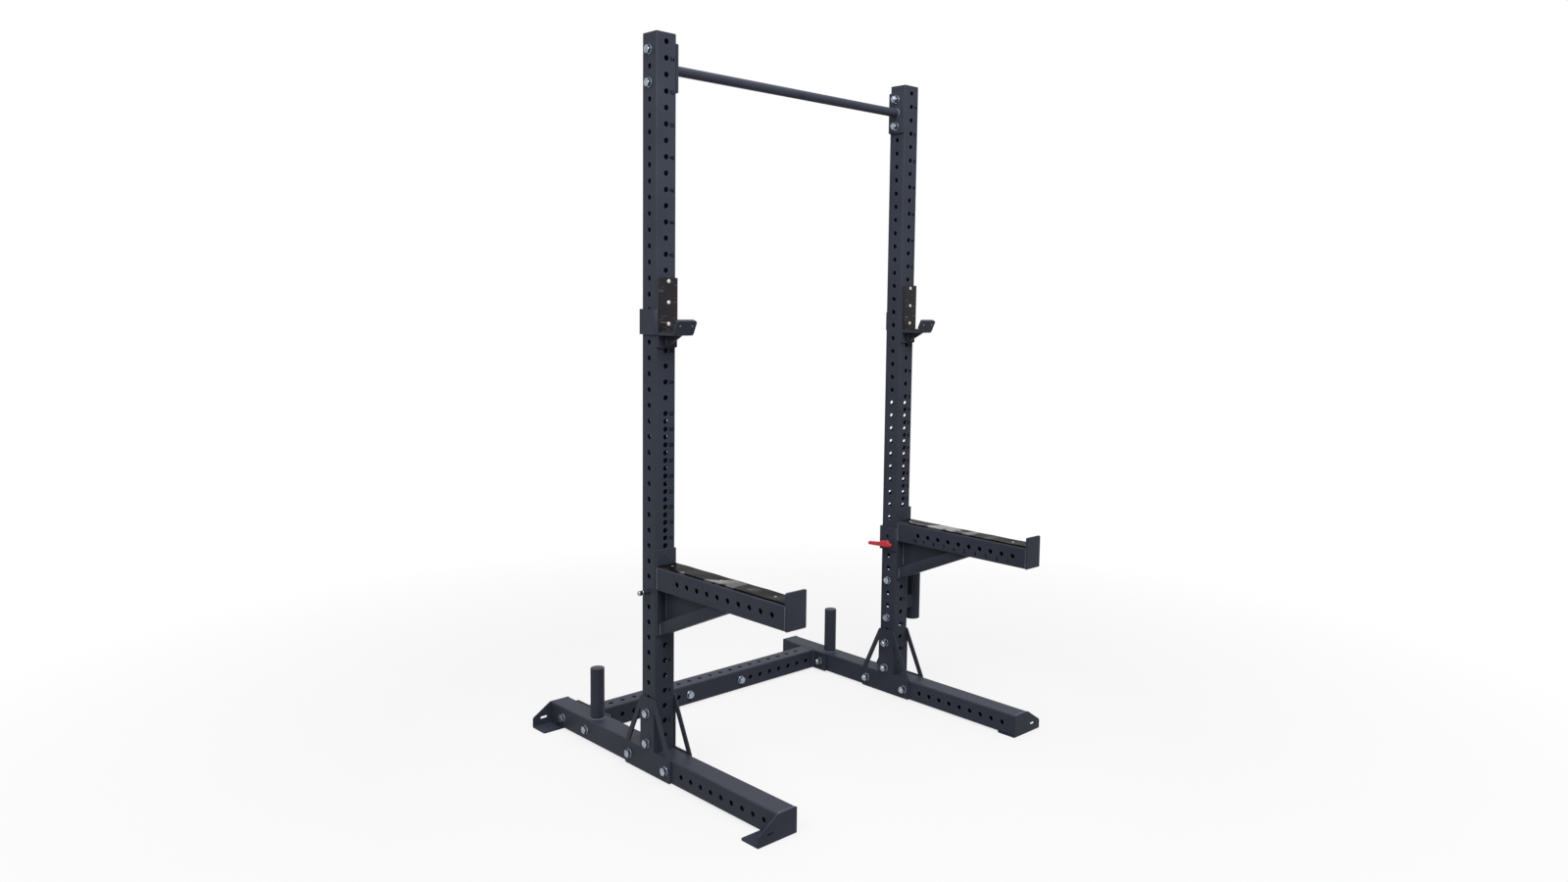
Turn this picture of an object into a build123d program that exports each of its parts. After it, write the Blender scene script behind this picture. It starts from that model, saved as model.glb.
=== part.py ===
from build123d import *
import os

os.makedirs("parts", exist_ok=True)

# Driving dimensions in millimetres.
# X runs along the pull-up bar, -Y is the lifter's side and +Z is up.
# The origin is on the floor, at the middle of the four floor bolt holes.

# Square tube used for uprights, base beams, crossbeam and spotter arms
tube = 75.0
tube_wall = 3.0
tube_corner = 3.0

# Frame layout
upright_spacing = 1125.0
upright_length = 2275.0
upright_setback = 11.0
beam_length = 1238.0
crossbeam_inset = 158.0

# Sides of small round forms that are drawn as polygons
# A count is even where one outline has to fit both a piece and its mirror image
hole_sides = 7
bolt_hole_sides = 6
hidden_bore_sides = 6
small_round_sides = 8

# Hole rows: a wide pitch with a stretch on a fine pitch at bench height
hole_diameter = 17.0
pitch = 50.0
fine_pitch = 25.0
top_margin = 25.0
fine_zone_height = 600.0
fine_zone_length = 500.0
end_margin = 20.0
beam_first_hole = 175.0
crossbeam_first_hole = 175.0
crossbeam_bolt_x = 125.0
arm_first_hole = 104.0

# Bolts with plain hexagon heads and nuts
bolt_diameter = 16.0
bolt_head_width = 24.0
bolt_head_height = 10.0
nut_height = 13.0

# Feet: a plate over the beam's end, bent under it, with an ear outside
foot_plate = 6.0
foot_ear = 70.0
foot_ear_height = 35.0
foot_depth = 80.0
foot_corner = 10.0
floor_hole_diameter = 14.0
floor_hole_ear = 35.0
floor_hole_inset = 40.0
foot_slot_length = 28.0
foot_slot_width = 9.0
foot_slot_ear = 28.0
foot_slot_height = 30.0

# Gussets between upright and base beam
gusset_plate = 6.0
gusset_base = 250.0
gusset_rise = 177.0
gusset_strut = 30.0
gusset_sill = 3.0
gusset_bolt_reach = 100.0

# Crossbeam and pull-up bar end flanges
flange_plate = 8.0
flange_bolt_reach = 75.0
flange_margin = 35.0
bar_diameter = 32.0
bar_wall = 3.0
bar_flange_margin = 25.0

# Plate storage pegs
peg_diameter = 48.0
peg_wall = 3.0
peg_height = 177.0
peg_lead = 90.0
cap_plate = 3.0
cap_insert = 12.0
cap_slack = 0.2

# Brackets of hooks and arms: plates wrapped round the upright
bracket_plate = 8.0
bracket_slack = 0.5
bracket_chamfer = 18.0
bracket_bend = 4.0
plug_diameter = 16.0
plug_length = 24.0

# J-hooks, measured from the plug that turns in the upright's front hole
hook_holes_up = 8
hook_rise = 28.0
hook_drop = 191.0
hook_wrap_drop = 151.0
hook_wrap_height = 80.0
hook_seat_depth = 78.0
hook_lip_height = 46.0
hook_lip_lean = 26.0
hook_lip_corner = 7.0
hook_rib_plate = 8.0
hook_rib_drop = 36.0
hook_rib_reach = 74.0
liner_plate = 6.0
hook_liner_width = 69.0

# Spotter arms, measured from their plug
arm_fine_steps_up = 2
arm_length = 610.0
arm_drop = 75.0
arm_mount_rise = 17.0
arm_mount_drop = 262.0
arm_wrap_drop = 152.0
arm_wrap_height = 90.0
arm_end_plate = 8.0
arm_end_rise = 37.0
arm_end_corner = 5.0
arm_liner_width = 67.0
arm_liner_slack = 2.0
brace_width = 50.0
brace_height = 40.0
brace_wall = 3.0
brace_reach = 351.0
web_plate = 4.0

# Lock pins through the upright, with moulded lever grips
pin_diameter = 16.0
pin_drop = 125.0
pin_overhang = 40.0
pin_collar_diameter = 22.0
pin_collar = 4.0
pin_slack = 0.3
grip_boss_diameter = 20.0
grip_boss = 12.0
grip_lever = 12.0
grip_hub_radius = 12.0
grip_tip_radius = 6.0
grip_reach = 70.0
grip_front_lobe = 18.0
grip_droop = 12.0

# Upright barbell holder on the right upright
holder_pitches_up = 4
holder_pitches_span = 3
holder_plate = 6.0
holder_plate_width = 60.0
holder_plate_margin = 35.0
holder_bore = 52.0
holder_wall = 3.0
holder_length = 200.0
holder_spacer_length = 37.0
holder_spacer_width = 40.0
holder_spacer_height = 50.0
holder_spacer_lift = 50.0
weld_gap = 0.1

# Levels and places worked out from the sizes above
half_tube = tube / 2
beam_bottom = foot_plate
beam_middle = beam_bottom + half_tube
beam_top = beam_bottom + tube
upright_x = upright_spacing / 2
outer_x = upright_x + half_tube
inner_x = upright_x - half_tube
upright_y = upright_setback
front_y = upright_y - half_tube
back_y = upright_y + half_tube
upright_top = beam_top + upright_length
beam_end = beam_length / 2
crossbeam_y = beam_end - crossbeam_inset
peg_y = crossbeam_y - peg_lead
fine_zone_bottom = beam_top + fine_zone_height
fine_zone_top = fine_zone_bottom + fine_zone_length


def steps(length, step):
    """How many whole steps fit in a length."""
    return int((length + 1e-6) // step)


# Front holes of an upright: above the fine stretch, in it and below it
lowest = beam_top + end_margin
upper_steps = steps(upright_top - top_margin - fine_zone_top, pitch)
top_hole = fine_zone_top + upper_steps * pitch
front_holes = [top_hole - k * pitch for k in range(upper_steps)]
front_holes += [fine_zone_top - k * fine_pitch for k in range(steps(fine_zone_length, fine_pitch))]
front_holes += [fine_zone_bottom - k * pitch for k in range(steps(fine_zone_bottom - lowest, pitch) + 1)]

# Side holes lie half a pitch from the front ones
top_side_hole = top_hole - pitch / 2
lowest_side_hole = top_side_hole - pitch * steps(top_side_hole - lowest, pitch)

# Heights of what hangs in those holes
hook_z = fine_zone_top + hook_holes_up * pitch
arm_plug_z = fine_zone_bottom + arm_fine_steps_up * fine_pitch
arm_z = arm_plug_z - arm_drop
arm_top = arm_z + half_tube
arm_bottom = arm_z - half_tube
pin_z = top_side_hole - pitch * round((top_side_hole - arm_plug_z + pin_drop) / pitch)
bar_bolts = [top_side_hole, top_side_hole - 2 * pitch]
bar_z = sum(bar_bolts) / 2
gusset_bolts = [lowest_side_hole, lowest_side_hole + 2 * pitch]
holder_low_bolt = lowest_side_hole + holder_pitches_up * pitch
holder_bolts = [holder_low_bolt, holder_low_bolt + holder_pitches_span * pitch]
side_bolts = bar_bolts + gusset_bolts + holder_bolts

# Faces that brackets and liners stand on
bracket_back = front_y - bracket_slack
bracket_front = bracket_back - bracket_plate
wrap_half = half_tube + bracket_slack
arm_end = bracket_front - arm_length
pin_seat = inner_x - bracket_slack - bracket_plate


def front_plane(x, y, z=0.0):
    """Plane that faces -Y: its own x is X and its own y is Z."""
    return Plane(origin=(x, y, z), x_dir=(1, 0, 0), z_dir=(0, -1, 0))


def side_plane(x, y, z=0.0):
    """Plane that faces +X: its own x is Y and its own y is Z."""
    return Plane(origin=(x, y, z), x_dir=(0, 1, 0), z_dir=(1, 0, 0))


def tube_section():
    """Square tube with eased corners, drawn in the open sketch."""
    Rectangle(tube, tube)
    chamfer(vertices(), tube_corner)
    inside = tube - 2 * tube_wall
    Rectangle(inside, inside, mode=Mode.SUBTRACT)


def hole_outlines(places, mode=Mode.ADD):
    """Free holes, drawn in the open sketch with few sides because there are many."""
    turn = 180 / hole_sides
    with Locations(*places):
        RegularPolygon(hole_diameter / 2, hole_sides, major_radius=False, rotation=turn, mode=mode)


def bolt_outlines(places, mode=Mode.ADD):
    """Holes that a bolt fills and its head hides, drawn in the open sketch."""
    with Locations(*places):
        RegularPolygon(hole_diameter / 2, bolt_hole_sides, major_radius=False, mode=mode)


def write(piece, label):
    """Label a finished piece and write its STEP file."""
    piece.part.label = label
    export_step(piece.part, f"parts/{label}.step")


def write_pair(piece, label):
    """Write a left piece and its mirror image on the right."""
    write(piece, f"left_{label}")
    with BuildPart() as twin:
        mirror(piece.part, about=Plane.YZ)
    write(twin, f"right_{label}")


# Uprights: front rows of holes, and the side holes that take bolts and pins
with BuildPart() as upright:
    with BuildSketch(Plane.XY.offset(beam_top)):
        with Locations((-upright_x, upright_y)):
            tube_section()
    extrude(amount=upright_length)
    with BuildSketch(front_plane(-upright_x, front_y)):
        hole_outlines([(0, z) for z in front_holes])
    extrude(amount=-half_tube, mode=Mode.SUBTRACT)
    with BuildSketch(side_plane(-upright_x, upright_y)):
        bolt_outlines([(0, z) for z in side_bolts])
        hole_outlines([(0, pin_z)])
    extrude(amount=tube, both=True, mode=Mode.SUBTRACT)
write_pair(upright, "upright")

# Upright caps: a flat top with an insert that fits inside the tube
with BuildPart() as upright_caps:
    with BuildSketch(Plane.XY.offset(upright_top)):
        with Locations((-upright_x, upright_y), (upright_x, upright_y)):
            Rectangle(tube, tube)
        chamfer(vertices(), tube_corner)
    extrude(amount=cap_plate)
    with BuildSketch(Plane.XY.offset(upright_top)):
        with Locations((-upright_x, upright_y), (upright_x, upright_y)):
            insert = tube - 2 * tube_wall - 2 * cap_slack
            Rectangle(insert, insert)
    extrude(amount=-cap_insert)
write(upright_caps, "upright_caps")

# Base beams: a row of free holes ahead of the upright, bolt holes elsewhere
with BuildPart() as base_beam:
    with BuildSketch(front_plane(-upright_x, -beam_end, beam_middle)):
        tube_section()
    extrude(amount=-beam_length)
    front_reach = upright_y + beam_end - beam_first_hole - end_margin
    beam_rows = [-beam_first_hole - k * pitch for k in range(steps(front_reach, pitch) + 1)]
    gusset_rows = [-gusset_bolt_reach, gusset_bolt_reach]
    flange_middle = crossbeam_y - upright_y
    flange_rows = [flange_middle - flange_bolt_reach, flange_middle + flange_bolt_reach]
    with BuildSketch(side_plane(-upright_x, upright_y, beam_middle)):
        hole_outlines([(y, 0) for y in beam_rows])
        bolt_outlines([(y, 0) for y in gusset_rows + flange_rows])
    extrude(amount=tube, both=True, mode=Mode.SUBTRACT)
write_pair(base_beam, "base_beam")

# Feet: end plate with a slotted ear, and a flange under the beam
ear_edge = half_tube + foot_ear
slot_x = -half_tube - foot_slot_ear
slot_half = foot_slot_length / 2
slot_flat = slot_half - foot_slot_width / 2
for end, sign in (("front", -1), ("rear", 1)):
    with BuildPart() as foot:
        with BuildSketch(front_plane(-upright_x, sign * beam_end)) as end_plate:
            with BuildLine():
                Polyline(
                    (half_tube, 0),
                    (half_tube, beam_top),
                    (-half_tube, beam_top),
                    (-ear_edge, foot_ear_height),
                    (-ear_edge, 0),
                    close=True,
                )
            make_face()
            chamfer(end_plate.vertices().group_by(Axis.Y)[1], foot_corner / 2)
            with BuildLine():
                Polyline(
                    (slot_x - slot_half, foot_slot_height),
                    (slot_x - slot_flat, foot_slot_height + foot_slot_width / 2),
                    (slot_x + slot_flat, foot_slot_height + foot_slot_width / 2),
                    (slot_x + slot_half, foot_slot_height),
                    (slot_x + slot_flat, foot_slot_height - foot_slot_width / 2),
                    (slot_x - slot_flat, foot_slot_height - foot_slot_width / 2),
                    close=True,
                )
            make_face(mode=Mode.SUBTRACT)
        extrude(amount=-sign * foot_plate)
        toe_y = sign * (beam_end + foot_plate - foot_depth / 2)
        with BuildSketch(Plane.XY) as flange:
            with Locations((-upright_x - foot_ear / 2, toe_y)):
                Rectangle(tube + foot_ear, foot_depth)
            hole_y = sign * (beam_end + foot_plate - floor_hole_inset)
            with Locations((-outer_x - floor_hole_ear, hole_y)):
                Circle(floor_hole_diameter / 2, mode=Mode.SUBTRACT)
        extrude(amount=foot_plate)
        bend = foot.edges().filter_by(Axis.X).group_by(Axis.Z)[0].sort_by(Axis.Y)
        chamfer(bend[0] if sign < 0 else bend[-1], foot_plate / 2)
    write_pair(foot, f"{end}_foot")

# Gussets: A-shaped plates outside and inside each upright, bolted to it and to the beam
half_base = gusset_base / 2
gusset_slope = (half_base - half_tube) / gusset_rise
sill_z = beam_top + gusset_sill
strut_foot = half_base - gusset_strut - gusset_slope * gusset_sill
window_top = sill_z + (strut_foot - half_tube) / gusset_slope
for side, face_x in (("outer", -outer_x), ("inner", -inner_x + gusset_plate)):
    with BuildPart() as gusset:
        with BuildSketch(side_plane(face_x, upright_y)):
            with BuildLine():
                Polyline(
                    (-half_base, beam_bottom),
                    (half_base, beam_bottom),
                    (half_base, beam_top),
                    (half_tube, beam_top + gusset_rise),
                    (-half_tube, beam_top + gusset_rise),
                    (-half_base, beam_top),
                    close=True,
                )
            make_face()
            for way in (-1, 1):
                with BuildLine():
                    Polyline(
                        (way * half_tube, sill_z),
                        (way * strut_foot, sill_z),
                        (way * half_tube, window_top),
                        close=True,
                    )
                make_face(mode=Mode.SUBTRACT)
            upright_bolts = [(0, z) for z in gusset_bolts]
            beam_bolts = [(y, beam_middle) for y in gusset_rows]
            bolt_outlines(upright_bolts + beam_bolts, Mode.SUBTRACT)
        extrude(amount=-gusset_plate)
    write_pair(gusset, f"{side}_gusset")

# Crossbeam: free holes in front, two bolts through its middle stretch
crossbeam_end = inner_x - flange_plate
with BuildPart() as crossbeam:
    with BuildSketch(side_plane(-crossbeam_end, crossbeam_y, beam_middle)):
        tube_section()
    extrude(amount=2 * crossbeam_end)
    half_row = steps(crossbeam_end - crossbeam_first_hole - end_margin, pitch) + 1
    row = [crossbeam_first_hole + k * pitch for k in range(half_row)]
    with BuildSketch(front_plane(0, crossbeam_y - half_tube, beam_middle)):
        hole_outlines([(way * x, 0) for x in row for way in (-1, 1)])
    extrude(amount=-half_tube, mode=Mode.SUBTRACT)
    with BuildSketch(front_plane(0, crossbeam_y, beam_middle)):
        bolt_outlines([(-crossbeam_bolt_x, 0), (crossbeam_bolt_x, 0)])
    extrude(amount=tube, both=True, mode=Mode.SUBTRACT)
write(crossbeam, "crossbeam")

# Crossbeam flanges: plates on the inner sides of the base beams
with BuildPart() as crossbeam_flange:
    with BuildSketch(side_plane(-inner_x, crossbeam_y, beam_middle)):
        Rectangle(2 * (flange_bolt_reach + flange_margin), tube)
        bolt_outlines([(-flange_bolt_reach, 0), (flange_bolt_reach, 0)], Mode.SUBTRACT)
    extrude(amount=flange_plate)
write_pair(crossbeam_flange, "crossbeam_flange")

# Plate pegs: round tubes standing on the base beams, closed by caps
with BuildPart() as plate_peg:
    with BuildSketch(Plane((-upright_x, peg_y, beam_top))):
        Circle(peg_diameter / 2)
        RegularPolygon(peg_diameter / 2 - peg_wall, hidden_bore_sides, mode=Mode.SUBTRACT)
    extrude(amount=peg_height)
write_pair(plate_peg, "plate_peg")

with BuildPart() as peg_caps:
    with BuildSketch(Plane.XY.offset(beam_top + peg_height)):
        with Locations((-upright_x, peg_y), (upright_x, peg_y)):
            Circle(peg_diameter / 2)
    extrude(amount=cap_plate)
    with BuildSketch(Plane.XY.offset(beam_top + peg_height)):
        with Locations((-upright_x, peg_y), (upright_x, peg_y)):
            RegularPolygon(peg_diameter / 2 - peg_wall - cap_slack, hidden_bore_sides)
    extrude(amount=-cap_insert)
write(peg_caps, "peg_caps")

# Pull-up bar and the flanges on its ends
bar_end = inner_x - flange_plate
with BuildPart() as pull_up_bar:
    with BuildSketch(side_plane(-bar_end, upright_y, bar_z)):
        Circle(bar_diameter / 2)
        RegularPolygon(bar_diameter / 2 - bar_wall, hidden_bore_sides, mode=Mode.SUBTRACT)
    extrude(amount=2 * bar_end)
write(pull_up_bar, "pull_up_bar")

with BuildPart() as bar_flange:
    with BuildSketch(side_plane(-inner_x, upright_y, bar_z)):
        Rectangle(tube, 2 * (pitch + bar_flange_margin))
        bolt_outlines([(0, -pitch), (0, pitch)], Mode.SUBTRACT)
    extrude(amount=flange_plate)
write_pair(bar_flange, "bar_flange")


def front_plug(z, sides):
    """Pin on the back of a bracket's front plate that enters the upright's front hole."""
    with BuildPart() as plug:
        with BuildSketch(front_plane(-upright_x, bracket_back, z)):
            RegularPolygon(plug_diameter / 2, sides)
        extrude(amount=-plug_length)
    return plug


def bracket_wrap(outward, z_low, height):
    """Side plate and back return of a bracket, bent round the side that outward points to."""
    side_in = outward * wrap_half
    side_out = outward * (wrap_half + bracket_plate)
    tail = -outward * (half_tube - bracket_plate)
    with BuildPart() as wrap:
        with BuildSketch(Plane((-upright_x, upright_y, z_low))) as side_plate:
            with BuildLine():
                Polyline(
                    (side_in, -wrap_half - bracket_plate),
                    (side_out, -wrap_half - bracket_plate),
                    (side_out, wrap_half + bracket_plate),
                    (side_in, wrap_half + bracket_plate),
                    close=True,
                )
            make_face()
            chamfer(side_plate.vertices().group_by(Axis.X)[0 if outward < 0 else -1], bracket_bend)
        extrude(amount=height)
        with BuildSketch(front_plane(-upright_x, back_y + bracket_slack, z_low)):
            with BuildLine():
                Polyline(
                    (side_in, 0),
                    (tail + outward * bracket_chamfer, 0),
                    (tail, bracket_chamfer),
                    (tail, height - bracket_chamfer),
                    (tail + outward * bracket_chamfer, height),
                    (side_in, height),
                    close=True,
                )
            make_face()
        extrude(amount=-bracket_plate)
    return wrap


# J-hook brackets: a tall front plate that wraps the upright's outer side
with BuildPart() as hook_bracket:
    with BuildSketch(front_plane(-upright_x, bracket_back, hook_z)) as hook_front:
        with BuildLine():
            Polyline(
                (-wrap_half, -hook_drop),
                (half_tube, -hook_drop),
                (half_tube, hook_rise),
                (-wrap_half, hook_rise),
                close=True,
            )
        make_face()
        chamfer(hook_front.vertices().group_by(Axis.Y)[0], bracket_bend)
    extrude(amount=bracket_plate)
    add(bracket_wrap(-1, hook_z - hook_wrap_drop, hook_wrap_height).part)
write_pair(hook_bracket, "hook_bracket")

write_pair(front_plug(hook_z, 2 * small_round_sides), "hook_plug")

# Hook cups: the seat and its leaning lip are one bent plate
seat_bottom = hook_z - hook_wrap_drop
seat_top = seat_bottom + bracket_plate
seat_front = bracket_front - hook_seat_depth
lip_plane = Plane(
    origin=(-upright_x, seat_front, seat_top),
    x_dir=(1, 0, 0),
    z_dir=Vector(0, -1, 0).rotate(Axis.X, hook_lip_lean),
)
with BuildPart() as hook_cup:
    with BuildSketch(Plane((-upright_x, (bracket_front + seat_front) / 2, seat_bottom))):
        Rectangle(tube, hook_seat_depth)
    extrude(amount=bracket_plate)
    with BuildSketch(lip_plane) as lip_face:
        with Locations((0, hook_lip_height / 2)):
            Rectangle(tube, hook_lip_height)
        chamfer(lip_face.vertices().group_by(Axis.Y)[-1], hook_lip_corner)
    extrude(amount=bracket_plate)
    with BuildSketch(side_plane(-upright_x - half_tube, seat_front, seat_top)):
        lip_foot = lip_plane.z_dir * bracket_plate
        bend_middle = Vector(lip_foot.Y, lip_foot.Z - bracket_plate).normalized() * bracket_plate
        with BuildLine():
            Polyline(
                (0, 0),
                (0, -bracket_plate),
                (bend_middle.X, bend_middle.Y),
                (lip_foot.Y, lip_foot.Z),
                close=True,
            )
        make_face()
    extrude(amount=tube)
write_pair(hook_cup, "hook_cup")

# Ribs under the hook cups
with BuildPart() as hook_rib:
    with BuildSketch(side_plane(-upright_x - hook_rib_plate / 2, bracket_front, seat_bottom)):
        with BuildLine():
            Polyline((0, 0), (-hook_rib_reach, 0), (0, -hook_rib_drop), close=True)
        make_face()
    extrude(amount=hook_rib_plate)
write_pair(hook_rib, "hook_rib")

# Hook liners: one on the front plate, one on the seat and one inside the lip
with BuildPart() as hook_back_liner:
    back_height = hook_rise + hook_wrap_drop - bracket_plate - liner_plate
    with BuildSketch(front_plane(-upright_x, bracket_front, hook_z + hook_rise - back_height / 2)):
        Rectangle(hook_liner_width, back_height)
    extrude(amount=liner_plate)
write_pair(hook_back_liner, "hook_back_liner")

with BuildPart() as hook_seat_liner:
    seat_length = hook_seat_depth - liner_plate / 2
    with BuildSketch(Plane((-upright_x, bracket_front - seat_length / 2, seat_top))):
        Rectangle(hook_liner_width, seat_length)
    extrude(amount=liner_plate)
write_pair(hook_seat_liner, "hook_seat_liner")

with BuildPart() as hook_lip_liner:
    with BuildSketch(lip_plane) as lip_pad:
        with Locations((0, (hook_lip_height + liner_plate) / 2)):
            Rectangle(hook_liner_width, hook_lip_height - liner_plate)
        chamfer(lip_pad.vertices().group_by(Axis.Y)[-1], hook_lip_corner - liner_plate / 2)
    extrude(amount=-liner_plate)
write_pair(hook_lip_liner, "hook_lip_liner")

# Spotter arm mounts: a front plate that wraps the upright's inner side, with two pin holes
with BuildPart() as arm_mount:
    with BuildSketch(front_plane(-upright_x, bracket_back, arm_plug_z)):
        with BuildLine():
            Polyline(
                (-half_tube, -arm_mount_drop),
                (wrap_half, -arm_mount_drop),
                (wrap_half, arm_mount_rise),
                (-half_tube, arm_mount_rise),
                close=True,
            )
        make_face()
    extrude(amount=bracket_plate)
    add(bracket_wrap(1, arm_plug_z - arm_wrap_drop, arm_wrap_height).part)
    with BuildSketch(side_plane(-inner_x, upright_y, pin_z)):
        hole_outlines([(0, 0), (0, fine_pitch)])
    extrude(amount=tube / 2, mode=Mode.SUBTRACT)
write_pair(arm_mount, "arm_mount")

write_pair(front_plug(arm_plug_z, small_round_sides), "arm_plug")

# Arm tubes with a row of holes through both sides
with BuildPart() as arm_tube:
    with BuildSketch(front_plane(-upright_x, bracket_front, arm_z)):
        tube_section()
    extrude(amount=arm_length)
    arm_holes = steps(arm_length - arm_first_hole - 2 * end_margin, pitch) + 1
    with BuildSketch(side_plane(-upright_x, bracket_front, arm_z)):
        hole_outlines([(-arm_first_hole - k * pitch, 0) for k in range(arm_holes)])
    extrude(amount=tube, both=True, mode=Mode.SUBTRACT)
write_pair(arm_tube, "arm_tube")

# End plates that stop a bar from rolling off the arms
with BuildPart() as arm_end_stop:
    with BuildSketch(front_plane(-upright_x, arm_end, arm_z)) as stop:
        with Locations((0, arm_end_rise / 2)):
            Rectangle(tube, tube + arm_end_rise)
        chamfer(stop.vertices().group_by(Axis.Y)[-1], arm_end_corner)
    extrude(amount=arm_end_plate)
write_pair(arm_end_stop, "arm_end_stop")

# Liners along the top of the arms
with BuildPart() as arm_liner:
    liner_length = arm_length - 2 * arm_liner_slack
    with BuildSketch(Plane((-upright_x, (bracket_front + arm_end) / 2, arm_top))):
        Rectangle(arm_liner_width, liner_length)
    extrude(amount=liner_plate)
write_pair(arm_liner, "arm_liner")

# Braces: rectangular tubes cut to meet the mount plate and the underside of the arm
mount_bottom = arm_plug_z - arm_mount_drop
brace_rise = arm_bottom - mount_bottom
brace_slope = brace_rise / brace_reach
brace_cut = brace_height * (1 + brace_slope**2) ** 0.5
wall_cut = brace_wall * (1 + brace_slope**2) ** 0.5


def brace_block(low, high, width):
    """Sloping block that ends at the mount plate and at the underside of the arm."""
    with BuildPart() as block:
        with BuildSketch(side_plane(-upright_x, bracket_front, mount_bottom)):
            with BuildLine():
                Polyline(
                    (0, low),
                    (-(brace_rise - low) / brace_slope, brace_rise),
                    (-(brace_rise - high) / brace_slope, brace_rise),
                    (0, high),
                    close=True,
                )
            make_face()
        extrude(amount=width / 2, both=True)
    return block


with BuildPart() as arm_brace:
    add(brace_block(0, brace_cut, brace_width).part)
    hollow = brace_block(wall_cut, brace_cut - wall_cut, brace_width - 2 * brace_wall)
    add(hollow.part, mode=Mode.SUBTRACT)
write_pair(arm_brace, "arm_brace")

# Webs that fill the corner between mount plate, arm and brace
with BuildPart() as arm_web:
    with BuildSketch(side_plane(-upright_x, bracket_front, mount_bottom)):
        web_reach = (brace_rise - brace_cut) / brace_slope
        with BuildLine():
            Polyline((0, brace_cut), (-web_reach, brace_rise), (0, brace_rise), close=True)
        make_face()
    extrude(amount=web_plate / 2, both=True)
write_pair(arm_web, "arm_web")

# Lock pins: a collar stops against the arm mount, the tip stands out of the outer side
with BuildPart() as lock_pin:
    pin_tip = outer_x + pin_overhang
    collar_x = pin_seat - pin_slack
    with BuildSketch(side_plane(-pin_tip, upright_y, pin_z)):
        Circle(pin_diameter / 2)
    extrude(amount=pin_tip - collar_x)
    with BuildSketch(side_plane(-collar_x, upright_y, pin_z)):
        RegularPolygon(pin_collar_diameter / 2, small_round_sides)
    extrude(amount=pin_collar)
write_pair(lock_pin, "lock_pin")

# Pin grips: a boss with a tapered lever that points back and droops a little
with BuildPart() as pin_grip:
    grip_x = -collar_x + pin_collar
    with BuildSketch(side_plane(grip_x, upright_y, pin_z)):
        RegularPolygon(grip_boss_diameter / 2, small_round_sides)
    extrude(amount=grip_boss)
    with BuildSketch(side_plane(grip_x + grip_boss, upright_y, pin_z)):
        RegularPolygon(grip_hub_radius, small_round_sides)
        with Locations((-grip_front_lobe, 0), (grip_reach, -grip_droop)):
            RegularPolygon(grip_tip_radius, small_round_sides)
        make_hull()
    extrude(amount=grip_lever)
    chamfer(pin_grip.faces().sort_by(Axis.X)[-1].edges(), grip_lever / 4)
write_pair(pin_grip, "pin_grip")

# Barbell holder: a bolted plate, a spacer and an upright tube that takes a bar's sleeve
holder_middle = sum(holder_bolts) / 2
holder_height = holder_bolts[1] - holder_bolts[0] + 2 * holder_plate_margin
with BuildPart() as holder_base:
    with BuildSketch(side_plane(outer_x, upright_y, holder_middle)):
        Rectangle(holder_plate_width, holder_height)
        bolt_outlines([(0, z - holder_middle) for z in holder_bolts], Mode.SUBTRACT)
    extrude(amount=holder_plate)
write(holder_base, "holder_plate")

holder_radius = holder_bore / 2 + holder_wall
holder_x = outer_x + holder_plate + holder_spacer_length + holder_radius
holder_bottom = holder_middle - holder_length / 2
with BuildPart() as holder_tube:
    with BuildSketch(Plane((holder_x, upright_y, holder_bottom))):
        Circle(holder_radius)
        Circle(holder_bore / 2, mode=Mode.SUBTRACT)
    extrude(amount=holder_length)
write(holder_tube, "holder_tube")

with BuildPart() as holder_spacer:
    with BuildSketch(Plane((outer_x + holder_plate, upright_y, holder_bottom + holder_spacer_lift))):
        with Locations(((holder_x - outer_x - holder_plate) / 2, 0)):
            Rectangle(holder_x - outer_x - holder_plate, holder_spacer_width)
        with Locations((holder_x - outer_x - holder_plate, 0)):
            Circle(holder_radius + weld_gap, mode=Mode.SUBTRACT)
    extrude(amount=holder_spacer_height)
write(holder_spacer, "holder_spacer")

# Bolts and nuts, each given by where its head sits, which way it points and what it clamps
fasteners = []
for way in (-1, 1):
    gusset_face = outer_x + gusset_plate
    gusset_grip = tube + 2 * gusset_plate
    flange_grip = tube + flange_plate
    inward = (-way, 0, 0)
    for z in gusset_bolts:
        fasteners.append(((way * gusset_face, upright_y, z), inward, gusset_grip))
    for y in gusset_rows:
        fasteners.append(((way * gusset_face, upright_y + y, beam_middle), inward, gusset_grip))
    for y in flange_rows:
        fasteners.append(((way * outer_x, upright_y + y, beam_middle), inward, flange_grip))
    for z in bar_bolts:
        fasteners.append(((way * outer_x, upright_y, z), inward, flange_grip))
    panel_x = way * crossbeam_bolt_x
    fasteners.append(((panel_x, crossbeam_y - half_tube, beam_middle), (0, 1, 0), tube))
for z in holder_bolts:
    fasteners.append(((inner_x, upright_y, z), (1, 0, 0), tube + holder_plate))

with BuildPart() as hex_bolts:
    for seat, way, grip in fasteners:
        with BuildSketch(Plane(origin=seat, z_dir=way)):
            RegularPolygon(bolt_head_width / 2, 6, major_radius=False)
        extrude(amount=-bolt_head_height)
        with BuildSketch(Plane(origin=seat, z_dir=way)):
            RegularPolygon(bolt_diameter / 2, bolt_hole_sides)
        extrude(amount=grip)
write(hex_bolts, "hex_bolts")

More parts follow.
